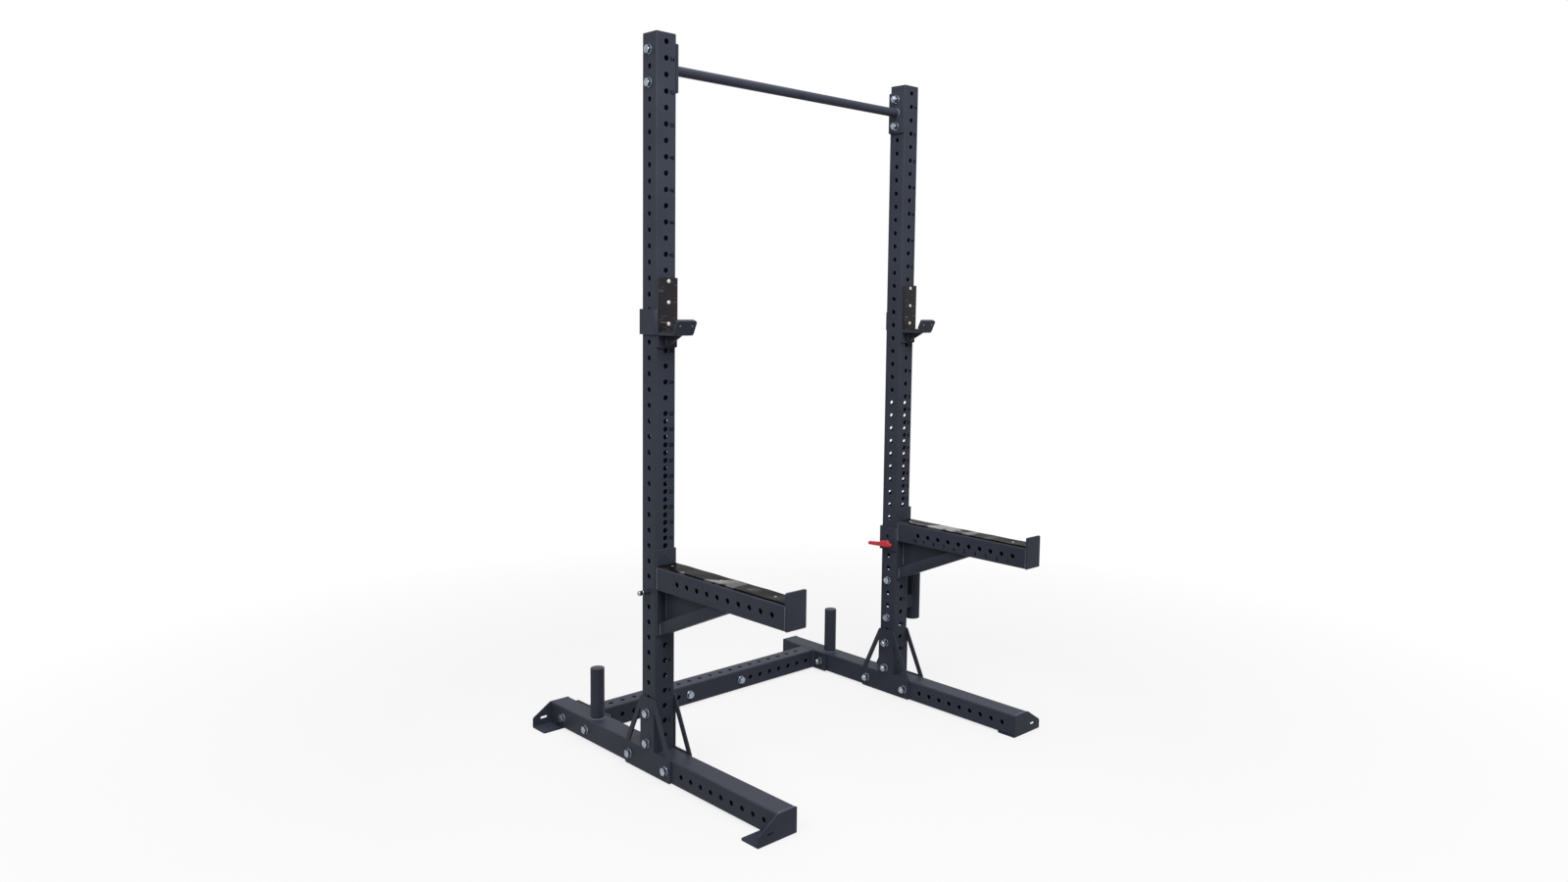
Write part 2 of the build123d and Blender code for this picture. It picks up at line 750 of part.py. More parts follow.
with BuildPart() as hex_nuts:
    for seat, way, grip in fasteners:
        nut_seat = Plane(origin=seat, z_dir=way).offset(grip)
        with BuildSketch(nut_seat):
            RegularPolygon(bolt_head_width / 2, 6, major_radius=False)
        extrude(amount=nut_height)
write(hex_nuts, "hex_nuts")
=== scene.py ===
# %% [markdown]
# # A squat rack, dressed for the studio
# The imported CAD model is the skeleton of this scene. Every tube, plate and hook already has its true
# size and place there, so this lesson only adds what the solids leave out: round punched holes, soft
# edges, weld beads, washers, numbers and finishes. We load it first and keep its box for later.

# %% Load the frame
from math import cos, exp, pi, radians, sin, tan

import bmesh
import bpy
from mathutils import Matrix, Vector


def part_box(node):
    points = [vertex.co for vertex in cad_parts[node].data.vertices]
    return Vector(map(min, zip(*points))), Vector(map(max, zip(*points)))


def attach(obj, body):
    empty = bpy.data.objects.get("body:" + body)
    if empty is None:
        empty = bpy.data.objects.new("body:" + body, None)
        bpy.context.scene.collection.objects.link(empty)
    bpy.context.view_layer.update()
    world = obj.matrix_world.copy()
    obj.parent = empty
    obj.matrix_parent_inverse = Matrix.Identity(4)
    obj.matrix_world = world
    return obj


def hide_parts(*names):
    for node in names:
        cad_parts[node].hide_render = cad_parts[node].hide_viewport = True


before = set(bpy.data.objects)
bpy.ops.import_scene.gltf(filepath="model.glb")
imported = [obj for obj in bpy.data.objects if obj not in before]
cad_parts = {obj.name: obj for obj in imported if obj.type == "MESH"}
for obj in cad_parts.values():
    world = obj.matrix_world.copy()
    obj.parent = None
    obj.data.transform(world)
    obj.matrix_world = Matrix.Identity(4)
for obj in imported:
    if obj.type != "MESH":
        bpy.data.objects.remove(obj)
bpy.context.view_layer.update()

bpy.context.scene.view_settings.view_transform = "Standard"

# %% [markdown]
# ## Shader maths as plain expressions
# A finish is easier to read as a formula than as a web of links. This small class wraps one socket, so
# that `0.3 + mask * 0.5` adds the Math nodes by itself. Any other node comes from `node`, which takes its
# sockets by name, or by number as `i0`, `i1` and so on.

# %% The shader wrapper


class Wire:
    """One output socket of a material's node tree, usable in Python expressions."""

    def __init__(self, tree, socket):
        self.tree = tree
        self.socket = socket

    def node(self, kind, settings=None, output=0, **inputs):
        made = self.tree.nodes.new(kind)
        for key, value in (settings or {}).items():
            setattr(made, key, value)
        for key, value in inputs.items():
            name = int(key[1:]) if key[0] == "i" and key[1:].isdigit() else key
            target = made.inputs[name]
            if isinstance(value, Wire):
                self.tree.links.new(value.socket, target)
            else:
                target.default_value = value
        return Wire(self.tree, made.outputs[output])

    def math(self, operation, first, second):
        return self.node("ShaderNodeMath", {"operation": operation}, i0=first, i1=second)

    def __add__(self, other):
        return self.math("ADD", self, other)

    def __radd__(self, other):
        return self.math("ADD", other, self)

    def __mul__(self, other):
        return self.math("MULTIPLY", self, other)

    def __rmul__(self, other):
        return self.math("MULTIPLY", other, self)

    def between(self, low, high):
        """Goes from 0 at low to 1 at high, and stays there outside."""
        return self.node("ShaderNodeMapRange", {"clamp": True}, i0=self, i1=low, i2=high)

    def mix(self, first, second):
        """A colour between two colours, by this value."""
        return self.node("ShaderNodeMix", {"data_type": "RGBA"}, output=2, i0=self, i6=first, i7=second)


print("expressions become nodes")

# %% [markdown]
# ## Starting a finish
# Every finish is a principled shader fed by noises on Object coordinates, which stay fixed to the piece
# when it moves. Colours are written as they look on a screen and changed to linear values by the
# screen's own curve, because Blender calculates light in linear values.

# %% Finish helpers


def rgb(red, green, blue):
    """A colour written in the usual 0 to 255 of a screen, as Blender's linear values."""
    shares = [value / 255 for value in (red, green, blue)]
    linear = [c / 12.92 if c < 0.04045 else ((c + 0.055) / 1.055) ** 2.4 for c in shares]
    return (*linear, 1.0)


def start_finish(name):
    """A new material with its principled shader and the Object coordinates of the piece."""
    material = bpy.data.materials.new(name)
    material.use_nodes = True
    tree = material.node_tree
    shader = tree.nodes["Principled BSDF"]
    place = Wire(tree, tree.nodes.new("ShaderNodeTexCoord").outputs["Object"])
    return material, shader, place


def feed(place, shader, socket, wire):
    """Link a value that changes over the surface to one of the shader's sockets."""
    place.tree.links.new(wire.socket, shader.inputs[socket])


def noise(place, scale, detail=3.0, roughness=0.55, distortion=0.0):
    return place.node(
        "ShaderNodeTexNoise", None, Vector=place, Scale=scale, Detail=detail, Roughness=roughness,
        Distortion=distortion,
    )


def bump(place, shader, height, strength, distance):
    made = place.node("ShaderNodeBump", None, Height=height, Strength=strength, Distance=distance)
    feed(place, shader, "Normal", made)


print("finish helpers ready")

# %% [markdown]
# ## The powder coat
# The frame is sprayed with dry powder that melts into a skin with a fine orange-peel grain. The grain is
# a bump of two noises, about one and three millimetres wide. A slow noise changes the colour a little,
# as coats do between batches and with handling, and the roughness follows it. Rare pale flecks on the
# frame are dust. The weld beads are given a paler colour and dense pale flecks: a painted highlight that
# stands for the glints their ripples catch.

# %% Powder coat finish


def powder_coat(name, dark, pale, rough, dust_and_glint_share):
    material, shader, place = start_finish(name)
    cloud = noise(place, scale=5.0, detail=4.0)
    grain = noise(place, scale=900.0, detail=2.0)
    peel = noise(place, scale=320.0, detail=2.0)
    # pale specks: dust at the frame's low share, painted glints at the welds' high share
    dust_and_glint_specks = noise(place, scale=2200.0, detail=1.0).between(0.62, 0.74)
    tone = cloud.between(0.35, 0.65).mix(dark, pale)
    feed(place, shader, "Base Color", (dust_and_glint_specks * dust_and_glint_share).mix(tone, rgb(150, 153, 160)))
    feed(place, shader, "Roughness", rough + 0.10 * cloud + 0.05 * peel)
    bump(place, shader, grain * 0.6 + peel, strength=0.22, distance=0.0004)
    shader.inputs["Specular IOR Level"].default_value = 0.12
    return material


frame_coat = powder_coat("anthracite_powder_coat", rgb(46, 50, 61), rgb(53, 57, 68), rough=0.42, dust_and_glint_share=0.06)
# the welds' paler tone and dense pale flecks are a painted highlight
weld_coat_painted_glints = powder_coat("coated_weld_painted_glints", rgb(70, 74, 84), rgb(112, 116, 126), rough=0.34, dust_and_glint_share=0.8)
print("made", frame_coat.name, "and", weld_coat_painted_glints.name)

# %% [markdown]
# ## Zinc and plain plastics
# The bolts and pins are zinc plated: bright, a little blotchy, finely scratched. The caps, the grip, the
# painted screws and the numbers are even surfaces that differ in colour and gloss, so one function with
# a cloud in the colour and a fine grain serves all four.

# %% Zinc and plain plastics


def zinc():
    material, shader, place = start_finish("zinc_plating")
    blotch = noise(place, scale=90.0)
    scratch = noise(place, scale=1400.0, detail=2.0)
    feed(place, shader, "Base Color", blotch.between(0.35, 0.7).mix(rgb(126, 136, 148), rgb(172, 180, 189)))
    feed(place, shader, "Roughness", 0.14 + 0.14 * blotch + 0.05 * scratch)
    bump(place, shader, scratch, strength=0.12, distance=0.0002)
    shader.inputs["Metallic"].default_value = 1.0
    return material


def plastic(name, dark, pale, rough, relief, gloss=0.4):
    material, shader, place = start_finish(name)
    cloud = noise(place, scale=30.0)
    grain = noise(place, scale=1500.0, detail=2.0)
    feed(place, shader, "Base Color", cloud.between(0.3, 0.7).mix(dark, pale))
    feed(place, shader, "Roughness", rough + 0.08 * cloud)
    bump(place, shader, grain, strength=relief, distance=0.0003)
    shader.inputs["Specular IOR Level"].default_value = gloss
    return material


zinc_plating = zinc()
cap_plastic = plastic("black_cap_plastic", rgb(24, 24, 26), rgb(34, 34, 37), rough=0.45, relief=0.15)
grip_plastic = plastic("red_grip_plastic", rgb(196, 30, 44), rgb(214, 42, 54), rough=0.30, relief=0.12)
screw_paint = plastic("white_screw_paint", rgb(206, 206, 202), rgb(228, 228, 224), rough=0.40, relief=0.05)
ink = plastic("engraving_ink", rgb(5, 5, 6), rgb(8, 8, 9), rough=0.60, relief=0.05, gloss=0.02)
print("plain finishes:", zinc_plating.name, cap_plastic.name, grip_plastic.name, screw_paint.name, ink.name)

# %% [markdown]
# ## Worn plastics
# The hook liners are scuffed by bars, so their scratches run along the bar, which is X: a noise squeezed
# along X gives them. The strips on the arms have a polished skin that bars rub away in swirls, most of all
# towards the tip, so a coat in patches of a swirled noise fades out along the arm.

# %% Worn plastics


def scuffed_plastic():
    material, shader, place = start_finish("scuffed_liner_plastic")
    along_bar = place.node("ShaderNodeMapping", None, Vector=place, Scale=(0.07, 1.0, 1.0))
    streak = noise(along_bar, scale=300.0, roughness=0.6)
    cloud = noise(place, scale=30.0)
    brown = noise(place, scale=11.0, detail=2.0).between(0.4, 0.6)
    scratch = streak.between(0.60, 0.66) * cloud.between(0.48, 0.60)
    tone = brown.mix(rgb(24, 23, 28), rgb(33, 27, 30))
    feed(place, shader, "Base Color", (scratch * 0.8).mix(tone, rgb(150, 146, 142)))
    feed(place, shader, "Roughness", 0.34 + 0.3 * scratch + 0.08 * cloud)
    bump(place, shader, streak, strength=0.18, distance=0.0004)
    shader.inputs["Specular IOR Level"].default_value = 0.2
    return material


rubbed_from = -0.50
rubbed_to = -0.28


def rubbed_gloss():
    material, shader, place = start_finish("glossy_strip_plastic")
    swirl = noise(place, scale=7.0, detail=1.5, roughness=0.4, distortion=1.6)
    cloud = noise(place, scale=30.0)
    y = place.node("ShaderNodeSeparateXYZ", None, output="Y", i0=place)
    feed(place, shader, "Base Color", cloud.between(0.3, 0.7).mix(rgb(14, 13, 13), rgb(24, 21, 19)))
    feed(place, shader, "Roughness", 0.22 + 0.12 * cloud)
    feed(place, shader, "Coat Weight", swirl.between(0.50, 0.56) * y.between(rubbed_from, rubbed_to))
    bump(place, shader, cloud, strength=0.05, distance=0.0005)
    shader.inputs["Specular IOR Level"].default_value = 0.01
    shader.inputs["Coat Roughness"].default_value = 0.04
    return material


strip_plastic = rubbed_gloss()
liner_plastic = scuffed_plastic()
print("finishes:", len(bpy.data.materials))

# %% [markdown]
# ## Which finish fills which slot
# The frame keeps a list of material slots, so a finish is kept with the slot that it fills. Welds and
# numbers are part of the coated frame. The arms' studs are listed as zinc, but their welded ends are
# sprayed with the frame.

# %% Finishes and slots
coated = (frame_coat, "frame_coat")
welded = (weld_coat_painted_glints, "frame_coat")
inked = (ink, "frame_coat")
plated = (zinc_plating, "zinc_steel")
painted = (screw_paint, "zinc_steel")
coated_stud = (frame_coat, "zinc_steel")
moulded_cap = (cap_plastic, "black_plastic")
glossy_strip = (strip_plastic, "arm_plastic")
scuffed_liner = (liner_plastic, "hook_plastic")
red_lever = (grip_plastic, "red_grip")
main_finishes = (coated, plated, moulded_cap, glossy_strip, scuffed_liner, red_lever)
print("slots:", [slot for _, slot in main_finishes])

# %% [markdown]
# ## Turning a bmesh into a piece
# Each piece is modelled near the origin with bmesh operators, moved to its place inside the mesh, then
# handed to the frame: it rides on a body, takes a slot's finish and may stand for CAD nodes. Edges that
# meet at more than 30 degrees stay sharp, the rest are shaded smooth. Wide level faces are shaded flat:
# smooth shading would spread the turn of a narrow bevel over the whole face and make sheet look swollen.

# %% Piece helper
level_angle = 0.01
flat_ratio = 6


def flat_area(first, seen):
    """All faces level with the first one, and the areas of the faces that bend away from them."""
    area, rims, queue = [], [], [first]
    seen.add(first)
    while queue:
        face = queue.pop()
        area.append(face)
        for edge in face.edges:
            level = edge.calc_face_angle(pi) < level_angle
            for other in edge.link_faces:
                if not level and other is not face:
                    rims.append(other.calc_area())
                elif other not in seen:
                    seen.add(other)
                    queue.append(other)
    return area, rims


def smooth_faces(shape):
    """True for each face to shade smooth, False for those of wide level areas."""
    seen = set()
    for face in shape.faces:
        if face not in seen:
            area, rims = flat_area(face, seen)
            wide = rims and sum(part.calc_area() for part in area) > flat_ratio * max(rims)
            for part in area:
                part.smooth = not wide
    return [face.smooth for face in shape.faces]


def piece(name, shape, finish, body, replaces=(), smooth=30):
    material, slot = finish
    mesh = bpy.data.meshes.new(name)
    smoothness = smooth_faces(shape)
    shape.to_mesh(mesh)
    shape.free()
    mesh.set_sharp_from_angle(angle=radians(smooth))
    mesh.polygons.foreach_set("use_smooth", smoothness)
    mesh.materials.append(material)
    made = bpy.data.objects.new(name, mesh)
    bpy.context.scene.collection.objects.link(made)
    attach(made, body)
    if replaces:
        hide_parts(*replaces)
    return made


# %% [markdown]
# ## Left and right
# Nearly everything on the rack comes twice, as mirror images. The left piece is modelled, and a negative
# scale along X makes the right one. That turns the faces inside out, so they are reversed again.

# %% Mirrored pairs


def mirrored(shape, signs):
    """The mirror image of a shape: the axis with the sign -1 is turned round."""
    bmesh.ops.scale(shape, vec=signs, verts=shape.verts)
    bmesh.ops.reverse_faces(shape, faces=shape.faces)
    return shape


def pair(name, build, finish, body, node=None, smooth=30):
    """Make a left piece and its mirror image on the right, each in place of its CAD node."""
    for side in ("left", "right"):
        shape = build()
        if side == "right":
            mirrored(shape, (-1, 1, 1))
        owner = body if body == "frame" else f"{side}_{body}"
        stands_for = [f"{side}_{node}"] if node else ()
        made = piece(f"{side}_{name}", shape, finish, owner, stands_for, smooth)
    print(f"{name}: {len(made.data.polygons)} faces a side")


print("pairs are made left first")

# %% [markdown]
# ## Small helpers for shapes
# These few lines come back in every piece: joining shapes, moving them, pointing them along a direction
# and rounding edges. A bevel eases the rims of plates and tubes, because a perfectly sharp edge never
# shines.

# %% Joining, moving and rounding
mm = 0.001
touch = 1e-6
rim_ease = 0.8 * mm
rim_angle = radians(40)


def join(shape, *others):
    """Add other bmeshes to the first one."""
    for other in others:
        mesh = bpy.data.meshes.new("joined")
        other.to_mesh(mesh)
        other.free()
        shape.from_mesh(mesh)
        bpy.data.meshes.remove(mesh)
    return shape


def joined(shapes):
    return join(bmesh.new(), *shapes)


def moved(shape, place):
    bmesh.ops.transform(shape, matrix=place, verts=shape.verts)
    return shape


def placed(shape, seat, way):
    """Point a shape's own z along a direction and put its origin on a seat."""
    aim = Vector((0, 0, 1)).rotation_difference(Vector(way)).to_matrix().to_4x4()
    return moved(shape, Matrix.Translation(seat) @ aim)


def round_edges(shape, edges, radius, steps, clamp=False):
    bmesh.ops.bevel(
        shape, geom=edges, offset=radius, segments=steps, profile=0.5, affect="EDGES", material=-1,
        clamp_overlap=clamp,
    )
    return shape


def ease_rims(shape, ease=rim_ease, steps=2):
    """Round the sharp edges of a closed shape a little."""
    rims = [e for e in shape.edges if len(e.link_faces) == 2 and e.calc_face_angle(0.0) > rim_angle]
    return round_edges(shape, rims, ease, steps, clamp=True)


print("rims get", rim_ease / mm, "mm")

# %% [markdown]
# ## The lathe
# Rods, washers, screws and weld beads are round, so they are turned as on a lathe: a short profile of
# distances along the axis and radii is spun once round. The seam is merged and the normals are
# recalculated, because a spin doesn't know which side is outside.

# %% Lathe


def lathe(profile, centre=(0, 0, 0), axis=(0, 0, 1), steps=48):
    """Spin a profile of (distance along the axis, radius) pairs round an axis through a point."""
    shape = bmesh.new()
    points = [shape.verts.new((radius, 0.0, along)) for along, radius in profile]
    edges = [shape.edges.new(ends) for ends in zip(points, points[1:])]
    bmesh.ops.spin(
        shape, geom=points + edges, cent=(0, 0, 0), axis=(0, 0, 1), angle=2 * pi, steps=steps, use_merge=True
    )
    bmesh.ops.remove_doubles(shape, verts=shape.verts, dist=touch)
    bmesh.ops.recalc_face_normals(shape, faces=shape.faces)
    return placed(shape, centre, axis)


def rod(low, high, radius, centre, axis, steps=24):
    """A closed round bar, used for bolts and to drill holes."""
    return lathe([(low, 0.0), (low, radius), (high, radius), (high, 0.0)], centre, axis, steps)


print("lathe ready")

# %% [markdown]
# ## Slabs and Booleans
# A plate cut by laser is an outline with round corners. Each corner of a flat face gets its arc from a
# vertex bevel, and an extrusion gives the thickness. Holes and unions come from exact Booleans, which
# keep thin walls clean.

# %% Slabs and Booleans


def new_verts(made):
    """The vertices that an extrusion has just made."""
    return [part for part in made["geom"] if isinstance(part, bmesh.types.BMVert)]


def corner_reach(corner):
    """How far a round corner reaches along its edges, for a radius of 1."""
    ways = [(e.other_vert(corner).co - corner.co).normalized() for e in corner.link_edges]
    return 1.0 / tan(ways[0].angle(ways[1]) / 2)


def round_corner(shape, corner, radius, steps=5):
    """Turn one corner of a flat outline into an arc."""
    bmesh.ops.bevel(
        shape, geom=[corner], offset=radius * corner_reach(corner), segments=steps, profile=0.5,
        affect="VERTICES", material=-1,
    )


def slab(outline, thickness, start=0.0):
    """A flat shape with (x, y, corner radius) points, extruded from a start height along its own z."""
    shape = bmesh.new()
    corners = [shape.verts.new((x, y, start)) for x, y, _ in outline]
    shape.faces.new(corners)
    for corner, (_, _, radius) in zip(corners, outline):
        if radius:
            round_corner(shape, corner, radius)
    made = bmesh.ops.extrude_face_region(shape, geom=shape.faces[:])
    bmesh.ops.translate(shape, vec=(0, 0, thickness), verts=new_verts(made))
    bmesh.ops.recalc_face_normals(shape, faces=shape.faces)
    return shape


def combine(shape, tool, operation):
    """Put two closed shapes together with an exact Boolean."""
    objects = []
    for source in (shape, tool):
        mesh = bpy.data.meshes.new("combining")
        source.to_mesh(mesh)
        source.free()
        objects.append(bpy.data.objects.new("combining", mesh))
        bpy.context.scene.collection.objects.link(objects[-1])
    boolean = objects[0].modifiers.new("combine", "BOOLEAN")
    boolean.operation = operation
    boolean.solver = "EXACT"
    boolean.object = objects[1]
    result = bmesh.new()
    result.from_object(objects[0], bpy.context.evaluated_depsgraph_get())
    for used in objects:
        bpy.data.meshes.remove(used.data)
    bmesh.ops.remove_doubles(result, verts=result.verts, dist=touch)
    return result


def cut(shape, tool):
    return combine(shape, tool, "DIFFERENCE")


print("slabs and Booleans ready")

# %% [markdown]
# ## Plates
# A plate is a slab with windows and drilled holes, put on the side of the rack that it faces. Plain
# rectangles take their size and place straight from a CAD node's box, so nothing is measured twice.

# %% Plates


def plate(outline, thickness, place, windows=(), holes=(), ease=rim_ease, ease_steps=2):
    """A flat plate with windows (outlines) and round holes (x, y, radius), put where place says."""
    shape = slab(outline, thickness)
    for window in windows:
        shape = cut(shape, slab(window, 3 * thickness, -thickness))
    for x, y, radius in holes:
        shape = cut(shape, rod(-thickness, 2 * thickness, radius, (x, y, 0), (0, 0, 1)))
    return moved(ease_rims(shape, ease, ease_steps), place)


def oblong(low_x, low_y, high_x, high_y, radius):
    """The outline of a rectangle with round corners."""
    corners = [(low_x, low_y), (high_x, low_y), (high_x, high_y), (low_x, high_y)]
    return [(*corner, radius) for corner in corners]


def facing(direction, origin):
    """Where a plate's own x, y and thickness go, by the side of the rack that it faces."""
    ways = {
        "front": ((1, 0, 0), (0, 0, 1), (0, -1, 0)),
        "right": ((0, 1, 0), (0, 0, 1), (1, 0, 0)),
        "left": ((0, -1, 0), (0, 0, 1), (-1, 0, 0)),
        "top": ((1, 0, 0), (0, 1, 0), (0, 0, 1)),
    }[direction]
    turn = Matrix(ways).transposed().to_4x4()
    return Matrix.Translation(origin) @ turn


along_x, along_y, along_z = range(3)


def box_plate(node, direction, corner, holes=(), ease=rim_ease):
    """A rectangular plate with round corners that fills a CAD node's box."""
    low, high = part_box(node)
    across, up, through = {
        "front": (along_x, along_z, along_y),
        "right": (along_y, along_z, along_x),
        "top": (along_x, along_y, along_z),
    }[direction]
    start = Vector((0, 0, 0))
    start[through] = high[through] if direction == "front" else low[through]
    outline = oblong(low[across], low[up], high[across], high[up], corner)
    return plate(outline, high[through] - low[through], facing(direction, start), (), holes, ease)


def box_pair(name, node, direction, corner, finish, body, holes=(), ease=rim_ease):
    pair(name, lambda: box_plate(f"left_{node}", direction, corner, holes, ease), finish, body, node)


print("plates ready")

# %% [markdown]
# ## Sizes read from the frame
# The solids already know where everything is, so the script measures them instead of repeating numbers.
# The hole rows are counted from the top hole down: a stretch at 50 mm, one at half of that at bench
# height, and the rest at 50 mm again. The side rows lie half a pitch lower.

# %% Measures
hole_radius = 8.5 * mm
pitch = 50 * mm
fine_pitch = pitch / 2
top_margin = 25 * mm
upper_count, fine_count, lower_count, side_count = 23, 20, 12, 45
wall = 3 * mm
bend = 5 * mm

upright_low, upright_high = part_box("left_upright")
beam_low, beam_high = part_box("left_base_beam")
arm_low, arm_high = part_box("left_arm_tube")
cross_low, cross_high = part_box("crossbeam")
tube = upright_high.x - upright_low.x
half = tube / 2
upright_x, upright_y = ((upright_low + upright_high) / 2).xy
top_hole = upright_high.z - top_margin
fine_top = top_hole - upper_count * pitch
fine_bottom = fine_top - fine_count * fine_pitch
front_holes = [top_hole - k * pitch for k in range(upper_count)]
front_holes += [fine_top - k * fine_pitch for k in range(fine_count)]
front_holes += [fine_bottom - k * pitch for k in range(lower_count)]
side_holes = [top_hole - pitch / 2 - k * pitch for k in range(side_count)]
print("tube", round(tube, 4), "front holes", len(front_holes), "side holes", len(side_holes))

# %% [markdown]
# ## Perforated square tube
# Real tube is rolled, so its corners are round, and the holes are punched with a small lead-in. A cube
# gets its four long edges bevelled and its ends removed, and solidify gives the wall. Each hole is cut by
# a spun profile that flares at the surfaces, which leaves the lead-in that catches the light.

# %% Tube helpers
nearly_parallel = 0.9
lead_in = 0.7 * mm
cutter_overrun = 2 * mm


def rounded_block(size, axis, radius, steps):
    """A block about the origin with the four edges along one axis rounded."""
    shape = bmesh.new()
    bmesh.ops.create_cube(shape, size=1.0)
    bmesh.ops.scale(shape, vec=size, verts=shape.verts)
    ways = {e: (e.verts[0].co - e.verts[1].co).normalized() for e in shape.edges}
    return round_edges(shape, [e for e in ways if abs(ways[e][axis]) > nearly_parallel], radius, steps)


def square_tube(low, high, axis):
    """A hollow rounded tube between two corners, along one axis."""
    shape = rounded_block(high - low, axis, bend, steps=5)
    bmesh.ops.translate(shape, vec=(low + high) / 2, verts=shape.verts)
    ends = [f for f in shape.faces if abs(f.normal[axis]) > nearly_parallel]
    bmesh.ops.delete(shape, geom=ends, context="FACES")
    bmesh.ops.solidify(shape, geom=shape.faces[:], thickness=wall)
    bmesh.ops.recalc_face_normals(shape, faces=shape.faces)
    return shape


def hole_cutters(centres, axis, reach=half):
    """Spun cutters through both walls of a tube, flared where they meet the surfaces."""
    end = reach + cutter_overrun
    flare = hole_radius + lead_in + cutter_overrun
    straight = reach - lead_in
    profile = [
        (-end, 0.0), (-end, flare), (-straight, hole_radius),
        (straight, hole_radius), (end, flare), (end, 0.0),
    ]
    direction = [0, 0, 0]
    direction[axis] = 1
    return joined(lathe(profile, centre, direction, steps=24) for centre in centres)


def perforated(low, high, axis, *cutters):
    return cut(square_tube(low, high, axis), joined(cutters))


print("tube wall", wall, "bend", bend)

# %% [markdown]
# ## The uprights
# Each upright has a numbered row in front that goes through to the back, with a stretch on half pitch at
# bench height, and a plain row on its sides. All the cutters are joined first, so that one Boolean
# punches the whole tube.

# %% Uprights


def perforated_upright():
    front = [Vector((upright_x, upright_y, z)) for z in front_holes]
    sides = [Vector((upright_x, upright_y, z)) for z in side_holes]
    return perforated(
        upright_low, upright_high, along_z, hole_cutters(front, along_y), hole_cutters(sides, along_x)
    )


pair("perforated_upright", perforated_upright, coated, "frame", "upright")

# %% [markdown]
# ## Base beams and arm tubes
# The same recipe on its side. The base beams have their row ahead of the upright and bolt holes behind
# it, and the arms have a row along their whole length.

# %% Base beams and arm tubes
beam_middle = (beam_low.z + beam_high.z) / 2
beam_first_hole, beam_count = 175 * mm, 9
beam_row = [upright_y - beam_first_hole - k * pitch for k in range(beam_count)]
gusset_bolt_reach = 100 * mm
gusset_bolt_y = [upright_y - gusset_bolt_reach, upright_y + gusset_bolt_reach]
cross_y = (cross_low.y + cross_high.y) / 2
flange_bolt_reach = 75 * mm
flange_bolt_y = [cross_y - flange_bolt_reach, cross_y + flange_bolt_reach]
beam_holes = beam_row + gusset_bolt_y + flange_bolt_y
arm_middle = (arm_low.z + arm_high.z) / 2
arm_first_hole, arm_count = 104 * mm, 10
arm_row = [arm_high.y - arm_first_hole - k * pitch for k in range(arm_count)]


def lying_tube(low, high, row):
    centres = [Vector((upright_x, y, (low.z + high.z) / 2)) for y in row]
    return perforated(low, high, along_y, hole_cutters(centres, along_x))


pair("perforated_beam", lambda: lying_tube(beam_low, beam_high, beam_holes), coated, "frame", "base_beam")
pair("perforated_arm", lambda: lying_tube(arm_low, arm_high, arm_row), coated, "frame", "arm_tube")

# %% [markdown]
# ## The crossbeam
# It ties the base beams together at the back. Its front row leaves a bare stretch in the middle, with a
# bolt at each end of it, and a row on top goes through the upper wall only, so those cutters are as short
# as the wall.

# %% Crossbeam
cross_first_hole, cross_count = 175 * mm, 7
cross_bolt_reach = 125 * mm
cross_top_each_way = 9
cross_front = [way * (cross_first_hole + k * pitch) for k in range(cross_count) for way in (-1, 1)]
cross_bolt_x = [-cross_bolt_reach, cross_bolt_reach]
cross_top = [k * pitch for k in range(-cross_top_each_way, cross_top_each_way + 1)]
front_row = [Vector((x, cross_y, beam_middle)) for x in cross_front + cross_bolt_x]
top_row = [Vector((x, cross_y, cross_high.z - wall / 2)) for x in cross_top]
cross_shape = perforated(
    cross_low, cross_high, along_x,
    hole_cutters(front_row, along_y), hole_cutters(top_row, along_z, wall / 2),
)
made = piece("perforated_crossbeam", cross_shape, coated, "frame", ["crossbeam"])
print(made.name, len(made.data.polygons), "faces")

# %% [markdown]
# ## Gussets
# A pair of A-shaped plates clamps each upright to its base beam. They are cut by laser from 6 mm sheet,
# so their corners have small radii. The outline is drawn once, with two windows and four bolt holes, and
# the inner plate is the same drawing on the other side of the tube.

# %% Gusset plates
gusset_low, gusset_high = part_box("left_outer_gusset")
inner_gusset_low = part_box("left_inner_gusset")[0]
gusset_sheet = gusset_high.x - gusset_low.x
gusset_half = (gusset_high.y - gusset_low.y) / 2
beam_top = beam_high.z
gusset_slope = (gusset_half - half) / (gusset_high.z - beam_top)
gusset_corner = 5 * mm
window_corner = 2 * mm
strut_corner = 3 * mm
sill = 3 * mm
strut_width = 20 * mm
strut_foot = gusset_half - strut_width - gusset_slope * sill
window_top = beam_top + sill + (strut_foot - half) / gusset_slope
gusset_bolt_z = [side_holes[-1], side_holes[-3]]


def gusset(face_x):
    outline = [
        (-gusset_half, gusset_low.z), (gusset_half, gusset_low.z), (gusset_half, beam_top),
        (half, gusset_high.z), (-half, gusset_high.z), (-gusset_half, beam_top),
    ]
    windows = [
        [
            (way * half, beam_top + sill, window_corner),
            (way * strut_foot, beam_top + sill, strut_corner),
            (way * half, window_top, window_corner),
        ]
        for way in (-1, 1)
    ]
    holes = [(0.0, z, hole_radius) for z in gusset_bolt_z]
    holes += [(y - upright_y, beam_middle, hole_radius) for y in gusset_bolt_y]
    rounded_outline = [(*point, gusset_corner) for point in outline]
    return plate(rounded_outline, gusset_sheet, facing("right", (face_x, upright_y, 0)), windows, holes)


pair("outer_gusset_plate", lambda: gusset(gusset_low.x), coated, "frame", "outer_gusset")
pair("inner_gusset_plate", lambda: gusset(inner_gusset_low.x), coated, "frame", "inner_gusset")

# %% [markdown]
# ## Feet
# A foot is one bent plate: it closes the end of the beam, stands out beyond it as a slotted ear, and turns
# under the beam as a floor flange with an anchor hole. Two slabs are united, the bend's long edge is
# bevelled round, and only then are the slot and the hole cut, so that the bend stays a clean edge.

